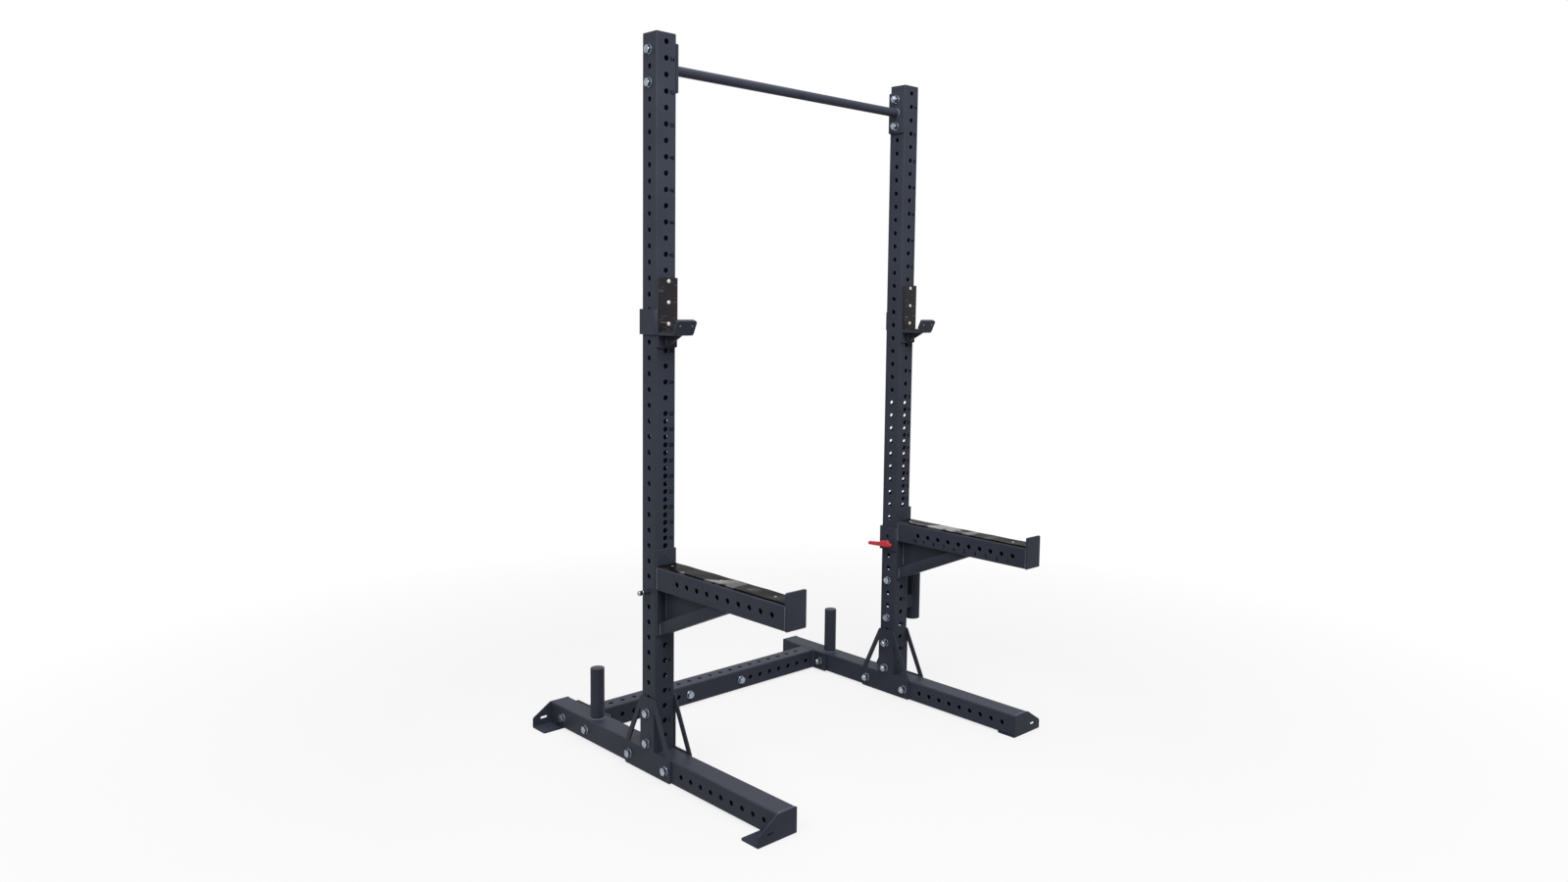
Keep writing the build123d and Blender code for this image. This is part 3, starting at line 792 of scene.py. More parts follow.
# %% Foot sizes
foot_low, foot_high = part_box("left_front_foot")
foot_sheet = 6 * mm
foot_corners = {"inner": 2 * mm, "shoulder": 8 * mm, "ear": 9 * mm, "toe": 5 * mm}
ear_height = 35 * mm
ear_slot_half = 14 * mm
ear_slot_width = 9 * mm
ear_slot_x = upright_low.x - 28 * mm
ear_slot_z = 30 * mm
slot_flat = 0.1 * mm
anchor_radius = 7 * mm
anchor_x = upright_low.x - 35 * mm
anchor_y = (foot_low.y + foot_high.y) / 2
small_ease = 0.6 * mm
print("foot", [round(side, 3) for side in foot_high - foot_low])

# %% Feet


def foot_leaves():
    """The end plate with its ear and the floor flange, united and bent."""
    ear = [
        (foot_high.x, 0.0, 0.0),
        (foot_high.x, foot_high.z, foot_corners["inner"]),
        (upright_low.x, foot_high.z, foot_corners["shoulder"]),
        (foot_low.x, ear_height, foot_corners["ear"]),
        (foot_low.x, 0.0, 0.0),
    ]
    toe = [
        (foot_low.x, foot_low.y, 0.0),
        (foot_high.x, foot_low.y, 0.0),
        (foot_high.x, foot_high.y, foot_corners["toe"]),
        (foot_low.x, foot_high.y, foot_corners["toe"]),
    ]
    upright_leaf = moved(slab(ear, foot_sheet), facing("front", (0, foot_low.y + foot_sheet, 0)))
    shape = combine(upright_leaf, slab(toe, foot_sheet), "UNION")
    near = 10 * touch
    bend_edge = [
        e for e in shape.edges
        if all(abs(v.co.z) < near and abs(v.co.y - foot_low.y) < near for v in e.verts)
    ]
    return round_edges(shape, bend_edge, foot_sheet, steps=5)


def foot():
    slot_half_width = ear_slot_width / 2
    slot = oblong(
        ear_slot_x - ear_slot_half, ear_slot_z - slot_half_width,
        ear_slot_x + ear_slot_half, ear_slot_z + slot_half_width, slot_half_width - slot_flat,
    )
    slot_tool = moved(
        slab(slot, 3 * foot_sheet, -foot_sheet), facing("front", (0, foot_low.y + foot_sheet, 0))
    )
    anchor_tool = rod(-foot_sheet, 2 * foot_sheet, anchor_radius, (anchor_x, anchor_y, 0), (0, 0, 1))
    return ease_rims(cut(cut(foot_leaves(), slot_tool), anchor_tool), small_ease)


pair("front_bent_foot", foot, coated, "frame", "front_foot")
pair("rear_bent_foot", lambda: mirrored(foot(), (1, -1, 1)), coated, "frame", "rear_foot")

# %% [markdown]
# ## End flanges
# Plates on the ends of the crossbeam and of the pull-up bar take the bolts. They are plain rectangles
# with two holes, so `box_pair` draws them straight from their boxes in the frame.

# %% Flange plates
flange_corner = 4 * mm
bar_bolt_z = [side_holes[0], side_holes[2]]
cross_bolts = [(y, beam_middle, hole_radius) for y in flange_bolt_y]
bar_bolts = [(upright_y, z, hole_radius) for z in bar_bolt_z]
box_pair("crossbeam_end_plate", "crossbeam_flange", "right", flange_corner, coated, "frame", cross_bolts)
box_pair("bar_end_plate", "bar_flange", "right", flange_corner, coated, "frame", bar_bolts)

# %% [markdown]
# ## Round tubes: pegs, pull-up bar and barbell holder
# These are drawn on a lathe, each with its bore and a small round at the rims. The holder is a tube that
# takes the sleeve of a barbell. One function serves all three, since only the sizes differ. A moulded cap
# with a shallow dome, turned together with its stem, closes each peg.

# %% Round tubes
peg_low, peg_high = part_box("left_plate_peg")
peg_x, peg_y = ((peg_low + peg_high) / 2).xy
peg_radius = (peg_high.x - peg_low.x) / 2
bar_low, bar_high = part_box("pull_up_bar")
bar_z = (bar_low.z + bar_high.z) / 2
bar_radius = (bar_high.z - bar_low.z) / 2
holder_low, holder_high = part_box("holder_tube")
holder_x = (holder_low.x + holder_high.x) / 2
holder_radius = (holder_high.x - holder_low.x) / 2
cap_insert = 12 * mm
peg_cap_slack = 0.2 * mm
peg_cap_chamfer = 1 * mm
dome = [(0.8 * mm, 1.0), (1.8 * mm, 0.94), (2.6 * mm, 0.7), (3 * mm, 0.0)]


def pipe(radius, length, centre, axis):
    """A round tube with eased rims."""
    bore, rim = radius - wall, rim_ease
    profile = [
        (rim, bore), (0, bore + rim), (0, radius - rim), (rim, radius), (length - rim, radius),
        (length, radius - rim), (length, bore + rim), (length - rim, bore), (rim, bore),
    ]
    return lathe(profile, centre, axis, steps=64)


def peg():
    return pipe(peg_radius, peg_high.z - peg_low.z, (peg_x, peg_y, peg_low.z), (0, 0, 1))


def peg_cap(x):
    stem = peg_radius - wall - peg_cap_slack
    profile = [(-cap_insert, 0), (-cap_insert, stem - peg_cap_chamfer), (peg_cap_chamfer - cap_insert, stem)]
    profile += [(0, stem), (0, peg_radius)]
    profile += [(height, share * peg_radius) for height, share in dome]
    return lathe(profile, (x, peg_y, peg_high.z), steps=64)


bar_shape = pipe(bar_radius, bar_high.x - bar_low.x, (bar_low.x, upright_y, bar_z), (1, 0, 0))
holder_foot = (holder_x, upright_y, holder_low.z)
holder_shape = pipe(holder_radius, holder_high.z - holder_low.z, holder_foot, (0, 0, 1))
pair("plate_peg_tube", peg, coated, "frame", "plate_peg")
piece("peg_domes", join(peg_cap(peg_x), peg_cap(-peg_x)), moulded_cap, "frame", ["peg_caps"])
piece("pull_up_bar_tube", bar_shape, coated, "frame", ["pull_up_bar"])
piece("barbell_tube", holder_shape, coated, "frame", ["holder_tube"])
print("radii in mm:", [round(radius / mm, 2) for radius in (peg_radius, bar_radius, holder_radius)])

# %% [markdown]
# ## Holder bracket
# The holder's tube is welded to a short block, and the block to a bolted plate. The block's end is cut
# with the tube's own radius, as a coped joint is: a rod as thick as the tube is taken away from it.

# %% Holder bracket
holder_corner = 5 * mm
holder_bolt_z = [side_holes[-5], side_holes[-8]]
holder_bolts = [(upright_y, z, hole_radius) for z in holder_bolt_z]
plate_low, plate_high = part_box("holder_plate")
holder_plate = box_plate("holder_plate", "right", holder_corner, holder_bolts)
piece("holder_back_plate", holder_plate, coated, "frame", ["holder_plate"])

block_low, block_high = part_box("holder_spacer")
block_outline = oblong(block_low.x, block_low.y, holder_x, block_high.y, 0.0)
block = slab(block_outline, block_high.z - block_low.z, block_low.z)
overrun = 10 * mm
saw_low, saw_high = block_low.z - overrun, block_high.z + overrun
coping_tool = rod(saw_low, saw_high, holder_radius, (holder_x, upright_y, 0), (0, 0, 1), steps=64)
coped = ease_rims(cut(block, coping_tool), small_ease)
made = piece("holder_block", coped, coated, "frame", ["holder_spacer"])
print(made.name, len(made.data.polygons), "faces")

# %% [markdown]
# ## Upright caps
# A moulded cap closes the upper end of each upright: a flat square with round corners, and below it a
# smaller square stem that is pressed into the tube. Two plates on top of each other give both.

# %% Upright caps
square_cap_slack = 0.3 * mm
square_cap_height = 3 * mm
square_cap_ease = 1 * mm


def upright_cap(x):
    edge = half - square_cap_slack
    stem = half - wall - square_cap_slack
    above = facing("top", (x, upright_y, upright_high.z))
    below = facing("top", (x, upright_y, upright_high.z - cap_insert))
    top = plate(oblong(-edge, -edge, edge, edge, bend), square_cap_height, above, ease=square_cap_ease)
    return join(top, plate(oblong(-stem, -stem, stem, stem, wall), cap_insert, below))


caps = join(upright_cap(upright_x), upright_cap(-upright_x))
made = piece("pressed_in_caps", caps, moulded_cap, "frame", ["upright_caps"])
print(made.name, len(made.data.polygons), "faces")

# %% [markdown]
# ## Bent brackets
# The hooks and arms hang on the uprights by plates folded round the tube. A press brake leaves an inner
# radius at each fold, so the fold's line gets arcs, is extruded into a sheet, grows up and down where the
# front leaf is taller, and solidify gives it 8 mm. This follows the real sheet, and the bends shine.

# %% Sheet helpers


def rounded(points, radius, steps=5):
    """A fold line: each inner corner of a few points becomes an arc."""
    points = [Vector(p) for p in points]
    line = [points[0]]
    for before, corner, after in zip(points, points[1:], points[2:]):
        back, ahead = (before - corner).normalized(), (after - corner).normalized()
        opening = back.angle(ahead) / 2
        middle = corner + (back + ahead).normalized() * radius / sin(opening)
        start = (corner + back * radius / tan(opening) - middle).normalized()
        stop = (corner + ahead * radius / tan(opening) - middle).normalized()
        line += [middle + radius * start.slerp(stop, k / steps) for k in range(steps + 1)]
    return line + [points[-1]]


def sheet(line, sweep):
    """A fold line swept sideways into an open sheet."""
    shape = bmesh.new()
    verts = [shape.verts.new(point) for point in line]
    edges = [shape.edges.new(ends) for ends in zip(verts, verts[1:])]
    made = bmesh.ops.extrude_edge_only(shape, edges=edges)
    bmesh.ops.translate(shape, vec=sweep, verts=new_verts(made))
    return shape


def thicken(shape, thickness, outside):
    """Give a sheet its thickness on the side that the direction outside points to."""
    bmesh.ops.recalc_face_normals(shape, faces=shape.faces)
    largest = max(shape.faces, key=lambda face: face.calc_area())
    if largest.normal.dot(Vector(outside)) < 0:
        bmesh.ops.reverse_faces(shape, faces=shape.faces)
    bmesh.ops.solidify(shape, geom=shape.faces[:], thickness=-thickness)
    bmesh.ops.recalc_face_normals(shape, faces=shape.faces)
    return ease_rims(shape)


print("sheet helpers ready")

# %% Folded bracket
bracket_sheet = 8 * mm
slack = 0.5 * mm
inner_bend = 2 * mm
tail_chamfer = 18 * mm * tan(pi / 8)
hook_low, hook_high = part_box("left_hook_bracket")
mount_low, mount_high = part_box("left_arm_mount")


def folded_bracket(outward, low_z, high_z, wrap_low, wrap_high, corner):
    """A front leaf that wraps the side outward points to (-1 or 1) and returns behind the tube."""
    reach = half + slack
    front, back = upright_y - reach, upright_y + reach
    fold_x = upright_x + outward * reach
    fold_points = [
        (upright_x - outward * half, front), (fold_x, front), (fold_x, back),
        (upright_x - outward * (half - bracket_sheet), back),
    ]
    line = rounded([(*point, wrap_low) for point in fold_points], inner_bend)
    shape = sheet(line, (0, 0, wrap_high - wrap_low))
    for tail in [v for v in shape.verts if (v.co - line[-1]).xy.length < touch]:
        round_corner(shape, tail, tail_chamfer, steps=1)
    leaf = [e for e in shape.edges if all(v.co.y < front + touch for v in e.verts)]
    leaf = [e for e in leaf if e.calc_length() > half and abs(e.verts[0].co.z - e.verts[1].co.z) < touch]
    for edge in leaf:
        rise = high_z - wrap_high if edge.verts[0].co.z > wrap_low + touch else low_z - wrap_low
        made = bmesh.ops.extrude_edge_only(shape, edges=[edge])
        bmesh.ops.translate(shape, vec=(0, 0, rise), verts=new_verts(made))
    for leaf_corner in [v for v in shape.verts if v.co.z < low_z + touch or v.co.z > high_z - touch]:
        round_corner(shape, leaf_corner, corner, steps=4)
    return thicken(shape, bracket_sheet, (0, -1, 0))


print("hook leaf", round(hook_high.z - hook_low.z, 3), "arm leaf", round(mount_high.z - mount_low.z, 3))

# %% [markdown]
# ## J-hooks
# A J-hook holds the bar: a bracket round the upright, a seat bent up into a lip, and a rib below. The cup
# is a second folded sheet. A plug on the bracket's back enters one of the upright's holes and is what the
# hook turns on when it is lifted out, so every piece here rides on the hook's own body.

# %% Hook brackets, cups and ribs
cup_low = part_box("left_hook_cup")[0]
rib_low, rib_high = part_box("left_hook_rib")
hook_wrap = (cup_low.z, cup_low.z + 80 * mm)
hook_corner = 4 * mm
seat_top = cup_low.z + bracket_sheet
seat_back = hook_low.y
seat_depth = 78 * mm
seat_front = seat_back - seat_depth
seat_bend = 4 * mm
lip_lean = radians(26)
lip_height = 46 * mm
lip_corner = 8 * mm
rib_tip_corner = 1.5 * mm
rib_foot_corner = 3 * mm
rib_foot = 0.05


def hook_bracket():
    return folded_bracket(-1, hook_low.z, hook_high.z, *hook_wrap, hook_corner)


def hook_cup():
    """Seat and lip: the fold line is the upper and inner face, and the steel lies outside it."""
    tip_z = seat_top + lip_height * cos(lip_lean)
    tip_y = seat_front - lip_height * sin(lip_lean)
    points = [(seat_back, seat_top), (seat_front, seat_top), (tip_y, tip_z)]
    line = rounded([(upright_low.x, *point) for point in points], seat_bend, steps=6)
    shape = sheet(line, (tube, 0, 0))
    for tip_corner in [v for v in shape.verts if v.co.z > tip_z - touch]:
        round_corner(shape, tip_corner, lip_corner)
    return thicken(shape, bracket_sheet, (0, 0, -1))


def hook_rib():
    drop = rib_high.z - rib_low.z
    reach = rib_high.y - rib_low.y
    outline = [(0, 0, 0.0), (-reach, 0, rib_tip_corner)]
    outline += [(-rib_foot * reach, -drop, rib_foot_corner), (0, -drop, 0.0)]
    return plate(outline, rib_high.x - rib_low.x, facing("right", (rib_low.x, rib_high.y, rib_high.z)))


pair("folded_hook_bracket", hook_bracket, coated, "hook", "hook_bracket")
pair("folded_hook_cup", hook_cup, coated, "hook", "hook_cup")
pair("hook_rib_plate", hook_rib, coated, "hook", "hook_rib")

# %% [markdown]
# ## Spotter arm mounts and stops
# The mount is the same folded bracket on the inner side, with two holes for the lock pin. On the arm's
# front end stands a plate that is taller than the tube and keeps a bar from rolling off.

# %% Arm mounts and stops
pin_low, pin_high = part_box("left_lock_pin")
pin_z = (pin_low.z + pin_high.z) / 2
mount_wrap = (pin_z - 27 * mm, pin_z + 63 * mm)
mount_corner = 3 * mm
stop_corner = 4 * mm


def arm_mount():
    shape = folded_bracket(1, mount_low.z, mount_high.z, *mount_wrap, mount_corner)
    for z in (pin_z, pin_z + fine_pitch):
        shape = cut(shape, rod(0.0, tube, hole_radius, (upright_x, upright_y, z), (1, 0, 0)))
    return shape


pair("folded_arm_mount", arm_mount, coated, "frame", "arm_mount")
box_pair("arm_stop_plate", "arm_end_stop", "front", stop_corner, coated, "frame")

# %% [markdown]
# ## Braces and webs
# Below the arm a rectangular tube props it: a block with rounded long edges is laid along the slope, and
# two bisecting planes cut it off where it meets the mount and the arm. A thin web fills the corner. Sawing
# a long block is the simplest way to get both slanted ends right.

# %% Braces and webs
brace_low, brace_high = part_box("left_arm_brace")
web_low, web_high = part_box("left_arm_web")
brace_depth = 40 * mm
brace_bend = 4 * mm
brace_way = Vector((0, brace_low.y - brace_high.y, brace_high.z - brace_low.z))
brace_tilt = -Vector((0, -1, 0)).angle(brace_way)
blank_length = 1.0
web_ease = 0.4 * mm


def sawn_off(shape, point, normal):
    """Saw a closed shape off at a plane and close the cut."""
    everything = shape.verts[:] + shape.edges[:] + shape.faces[:]
    bmesh.ops.bisect_plane(shape, geom=everything, plane_co=point, plane_no=normal, clear_outer=True)
    bmesh.ops.holes_fill(shape, edges=[e for e in shape.edges if e.is_boundary], sides=0)


def arm_brace():
    blank = (brace_high.x - brace_low.x, blank_length, brace_depth)
    shape = rounded_block(blank, along_y, brace_bend, steps=4)
    middle = (brace_low + brace_high) / 2
    underside = Matrix.Translation((upright_x, middle.y, middle.z))
    tilt = Matrix.Rotation(brace_tilt, 4, "X")
    moved(shape, underside @ tilt @ Matrix.Translation((0, 0, brace_depth / 2)))
    sawn_off(shape, (0, brace_high.y, 0), (0, 1, 0))
    sawn_off(shape, (0, 0, brace_high.z), (0, 0, 1))
    bmesh.ops.recalc_face_normals(shape, faces=shape.faces)
    return shape


def arm_web():
    outline = [(web_high.y, web_low.z, 0.0), (web_high.y, web_high.z, 0.0), (web_low.y, web_high.z, 0.0)]
    return plate(outline, web_high.x - web_low.x, facing("right", (web_low.x, 0, 0)), ease=web_ease)


pair("arm_brace_tube", arm_brace, coated, "frame", "arm_brace")
pair("arm_web_plate", arm_web, coated, "frame", "arm_web")

# %% [markdown]
# ## Plugs
# A short turned stud on the back of each bracket enters a hole of the upright. On the arm's mount its
# welded end shows in front as a flat round button with a raised ring. The tip is chamfered, so that it
# finds the hole.

# %% Plugs
plug_chamfer = 2 * mm
button_radius = 10.5 * mm
button_side, button_top, button_dish = 0.7 * mm, 1.3 * mm, 0.8 * mm
ring_outer, ring_inner, dish_edge = 0.8 * mm, 2.2 * mm, 3 * mm


def plug(node, button=False):
    low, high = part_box(node)
    radius = (high.z - low.z) / 2
    length = high.y - low.y
    profile = [(length, 0), (length, radius - plug_chamfer), (length - plug_chamfer, radius), (0, radius)]
    if button:
        face = -bracket_sheet
        profile += [
            (face, radius), (face, button_radius), (face - button_side, button_radius),
            (face - button_top, button_radius - ring_outer), (face - button_top, button_radius - ring_inner),
            (face - button_dish, button_radius - dish_edge), (face - button_dish, 0),
        ]
    else:
        profile += [(0, 0)]
    return lathe(profile, (upright_x, low.y, (low.z + high.z) / 2), (0, 1, 0), steps=40)


pair("hook_stud", lambda: plug("left_hook_plug"), plated, "hook", "hook_plug")
pair("arm_stud", lambda: plug("left_arm_plug", button=True), coated_stud, "frame", "arm_plug")

# %% [markdown]
# ## Hook liners
# Plastic liners keep the bar off the steel, on the bracket's front, on the seat and inside the lip. They
# are sawn from sheet, so each is a plate with eased rims. Two of them fill their CAD boxes, and the third
# is drawn flat and then leaned with the lip.

# %% Hook liners
back_low, back_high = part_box("left_hook_back_liner")
seat_low, seat_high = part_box("left_hook_seat_liner")
liner_sheet = seat_high.z - seat_low.z
liner_half = (back_high.x - back_low.x) / 2
liner_ease = 1 * mm
back_corner, seat_corner, lip_liner_corner = 3 * mm, 2 * mm, 5 * mm
lip_liner_start = 7 * mm
lip_liner_end = lip_height - 1 * mm
lip_along = Vector((0, -sin(lip_lean), cos(lip_lean)))
lip_inward = Vector((0, cos(lip_lean), sin(lip_lean)))
lip_foot = Vector((upright_x, seat_front, seat_top))


def lip_liner():
    """The plate's own y climbs the lip, and its thickness points inward."""
    outline = oblong(-liner_half, lip_liner_start, liner_half, lip_liner_end, lip_liner_corner)
    lean = Matrix((Vector((-1, 0, 0)), lip_along, lip_inward)).transposed().to_4x4()
    return plate(outline, liner_sheet, Matrix.Translation(lip_foot) @ lean, ease=liner_ease)


for name, node, direction, corner in (
    ("scuffed_back_liner", "hook_back_liner", "front", back_corner),
    ("scuffed_seat_liner", "hook_seat_liner", "top", seat_corner),
):
    box_pair(name, node, direction, corner, scuffed_liner, "hook", ease=liner_ease)
pair("scuffed_lip_liner", lip_liner, scuffed_liner, "hook", "hook_lip_liner")

# %% [markdown]
# ## Arm strips
# The strip on each arm is glossy and not quite flat: three screws pull it down, and it waves a little
# between them. A grid is moved by that formula before it gets its thickness, since a flat plate would
# reflect the studio like a mirror.

# %% Arm strips
strip_low, strip_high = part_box("left_arm_liner")
first_screw = 27 * mm
screw_step = 249 * mm
strip_screws = [(upright_x, strip_high.y - first_screw - k * screw_step) for k in range(3)]
dip_depth = 1.6 * mm
dip_width = 24 * mm
wave_height = 0.35 * mm
wave_length = 130 * mm
wave_skew = 0.6


def strip_height(x, y):
    """The height of the strip's face, counted from the top of its box, so never above zero."""
    squared = min((x - screw_x) ** 2 + (y - screw_y) ** 2 for screw_x, screw_y in strip_screws)
    wave = 1 + sin(2 * pi * (y + wave_skew * x) / wave_length)
    return -dip_depth * exp(-squared / dip_width ** 2) - wave_height * wave


def arm_strip():
    shape = bmesh.new()
    bmesh.ops.create_grid(shape, x_segments=14, y_segments=110, size=0.5)
    bmesh.ops.scale(shape, vec=(*(strip_high - strip_low).xy, 1), verts=shape.verts)
    bmesh.ops.translate(shape, vec=((strip_low + strip_high) / 2).xy.to_3d(), verts=shape.verts)
    for vert in shape.verts:
        vert.co.z = strip_high.z + strip_height(vert.co.x, vert.co.y)
    made = bmesh.ops.extrude_face_region(shape, geom=shape.faces[:])
    for vert in new_verts(made):
        vert.co.z = strip_low.z
    bmesh.ops.recalc_face_normals(shape, faces=shape.faces)
    return ease_rims(shape)


pair("glossy_arm_strip", arm_strip, glossy_strip, "frame", "arm_liner")

# %% [markdown]
# ## Liner screws
# The liners are held by pan-head screws with a cross recess: a spun dome from which two thin crossed slabs
# are cut. Its section is written in shares of the head's height and radius, so one drawing serves all
# three sizes. They are too small for the solids and replace none of them.

# %% Screws
head_section = [(-1, 0), (-1, 0.6), (0, 1), (0.45, 0.94), (0.85, 0.6), (1, 0)]
slit_reach, slit_half, slit_floor = 0.5, 0.12, 0.45
hook_plug_low, hook_plug_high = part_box("left_hook_plug")
hook_z = (hook_plug_low.z + hook_plug_high.z) / 2
back_screw_z = [hook_z + rise for rise in (17 * mm, -49 * mm, -116 * mm)]
back_seats = [Vector((upright_x, back_low.y, z)) for z in back_screw_z]
lip_screw_share = 0.62
lip_screw_x = 22.5 * mm
lip_middle = lip_foot + lip_along * lip_screw_share * lip_height - lip_inward * bracket_sheet
lip_seats = [lip_middle + Vector((x, 0, 0)) for x in (-lip_screw_x, lip_screw_x)]
strip_seats = [Vector((x, y, strip_high.z + strip_height(x, y))) for x, y in strip_screws]


def pan_screw(radius, height, seat, way):
    """A low dome with a cross recess, standing on a surface."""
    section = [(along * height, out * radius) for along, out in head_section]
    head = lathe(section, steps=28)
    long, wide = slit_reach * radius, slit_half * radius
    for turn in (0.0, pi / 2):
        slit = slab(oblong(-long, -wide, long, wide, 0.0), height, slit_floor * height)
        head = cut(head, moved(slit, Matrix.Rotation(turn, 4, "Z")))
    return placed(head, seat, way)


def screws(radius, height, seats, way):
    return joined(pan_screw(radius, height, seat, way) for seat in seats)


pair("back_liner_screws", lambda: screws(6 * mm, 1.8 * mm, back_seats, (0, -1, 0)), painted, "hook")
pair("lip_screws", lambda: screws(2.6 * mm, 1.0 * mm, lip_seats, -lip_inward), plated, "hook")
pair("arm_strip_screws", lambda: screws(5 * mm, 1.6 * mm, strip_seats, (0, 0, 1)), plated, "frame")

# %% [markdown]
# ## Lock pins and lever grips
# A zinc-plated pin goes through the arm's mount and the upright. Its tip is chamfered and has a groove for
# the spring ball. The red grip is moulded on the other end: a lever with a hub, drawn as an outline with
# large corner radii and a generous bevel, united with a turned boss.

# %% Lock pins
pin_radius = 8 * mm
tip_chamfer = 2.5 * mm
groove_start, groove_end = 12 * mm, 16 * mm
groove_slope, groove_depth = 1 * mm, 0.9 * mm
collar_radius, collar_length, collar_edge = 11 * mm, 4 * mm, 0.8 * mm


def lock_pin():
    end = pin_high.x - pin_low.x
    collar = end - collar_length
    groove_radius = pin_radius - groove_depth
    profile = [(0, 0), (0, pin_radius - tip_chamfer), (tip_chamfer, pin_radius)]
    profile += [(groove_start, pin_radius), (groove_start + groove_slope, groove_radius)]
    profile += [(groove_end - groove_slope, groove_radius), (groove_end, pin_radius), (collar, pin_radius)]
    profile += [(collar, collar_radius - collar_edge), (collar + collar_edge, collar_radius)]
    profile += [(end - collar_edge, collar_radius), (end, collar_radius - collar_edge), (end, 0)]
    return lathe(profile, (pin_low.x, upright_y, pin_z), (1, 0, 0), steps=40)


pair("turned_lock_pin", lock_pin, plated, "pin", "lock_pin")

# %% Lever grips
grip_low, grip_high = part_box("left_pin_grip")
lever = 12 * mm
lever_ease = 3 * mm
boss_edge, boss_radius, boss_draft, boss_sink = 1 * mm, 10 * mm, 1 * mm, 2 * mm
# distance behind the pin, height over it and corner radius, in millimetres
lobe = [
    (-42, -6, 5.5), (-8, -11, 8), (12, -11, 8), (78, -14, 6),
    (78, -1, 6), (22, 5, 20), (0, 14, 10), (-42, 5, 5),
]


def lever_grip():
    outline = [(behind * mm, above * mm, corner * mm) for behind, above, corner in lobe]
    place = facing("right", (grip_high.x - lever, upright_y, pin_z))
    shape = plate(outline, lever, place, ease=lever_ease, ease_steps=4)
    end = grip_high.x - lever - grip_low.x + boss_sink
    narrow = boss_radius - boss_draft
    profile = [(0, 0), (0, boss_radius - boss_edge), (boss_edge, boss_radius), (end, narrow), (end, 0)]
    boss = lathe(profile, (grip_low.x, upright_y, pin_z), (1, 0, 0), steps=40)
    return combine(shape, boss, "UNION")


pair("lever_grip", lever_grip, red_lever, "pin", "pin_grip", smooth=45)

# %% [markdown]
# ## Hex bolts, washers and nuts
# Twenty M16 bolts hold the frame together. A real head is a hexagon turned down by a 30 degree chamfer, so
# a six-sided prism meets a spun cone in a Boolean, which leaves the curved lines on its flats. One bolt is
# modelled along Z, then copied to each seat that the frame gives.

# %% Bolt, nut and washer
bolt_radius = 8 * mm
across_flats = 24 * mm
head_height, nut_height = 10 * mm, 13 * mm
washer_height, washer_radius = 2.5 * mm, 15 * mm
washer_slack, washer_edge = 0.5 * mm, 0.4 * mm
thread_pitch, thread_depth, thread_turns = 2 * mm, 1.1 * mm, 3
thread_tip, thread_tip_fall = 1.5 * mm, 1.8 * mm
chamfer_angle = radians(30)
face_share, clear_share = 0.475, 1.01


def hexagon(height, both_ends):
    """A hexagon with its corners turned down above, and with both_ends below too."""
    corner = across_flats / 3 ** 0.5
    face, clear = across_flats * face_share, corner * clear_share
    fall = (corner - face) * tan(chamfer_angle)
    prism = bmesh.new()
    bmesh.ops.create_cone(prism, cap_ends=True, segments=6, radius1=corner, radius2=corner, depth=height)
    bmesh.ops.translate(prism, vec=(0, 0, height / 2), verts=prism.verts)
    below = [(0, face), (fall, clear)] if both_ends else [(0, clear)]
    profile = [(0, 0), *below, (height - fall, clear), (height, face), (height, 0)]
    return combine(prism, lathe(profile), "INTERSECT")


def washer():
    hole, flat = bolt_radius + washer_slack, washer_radius - washer_edge
    profile = [(0, hole), (0, flat), (washer_edge, washer_radius)]
    profile += [(washer_height - washer_edge, washer_radius), (washer_height, flat)]
    profile += [(washer_height, hole), (0, hole)]
    return lathe(profile, steps=40)


def thread():
    """The bolt's end beyond the nut: a few rings of thread and a chamfered tip."""
    profile = [(0, 0), (0, bolt_radius)]
    root = bolt_radius - thread_depth
    for k in range(thread_turns):
        profile += [((k + 0.5) * thread_pitch, root), ((k + 1) * thread_pitch, bolt_radius)]
    end = thread_turns * thread_pitch + thread_tip
    profile += [(end, bolt_radius - thread_tip_fall), (end, 0)]
    return lathe(profile, steps=32)


print("bolts of", 2 * bolt_radius / mm, "mm")

# %% Fasteners in place
flange_low, flange_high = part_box("left_crossbeam_flange")
gusset_grip = tube + 2 * gusset_sheet
flange_grip = tube + flange_high.x - flange_low.x
holder_grip = tube + plate_high.x - plate_low.x
on_gusset = [(upright_y, z) for z in gusset_bolt_z] + [(y, beam_middle) for y in gusset_bolt_y]
on_flange = [(y, beam_middle) for y in flange_bolt_y] + [(upright_y, z) for z in bar_bolt_z]
fasteners = []
for way in (-1, 1):
    out = Vector((way, 0, 0))
    fasteners += [(Vector((way * -gusset_low.x, *spot)), out, gusset_grip) for spot in on_gusset]
    fasteners += [(Vector((way * -upright_low.x, *spot)), out, flange_grip) for spot in on_flange]
fasteners += [(Vector((x, cross_low.y, beam_middle)), Vector((0, -1, 0)), tube) for x in cross_bolt_x]
inner_face = -upright_high.x
fasteners += [(Vector((inner_face, upright_y, z)), Vector((-1, 0, 0)), holder_grip) for z in holder_bolt_z]

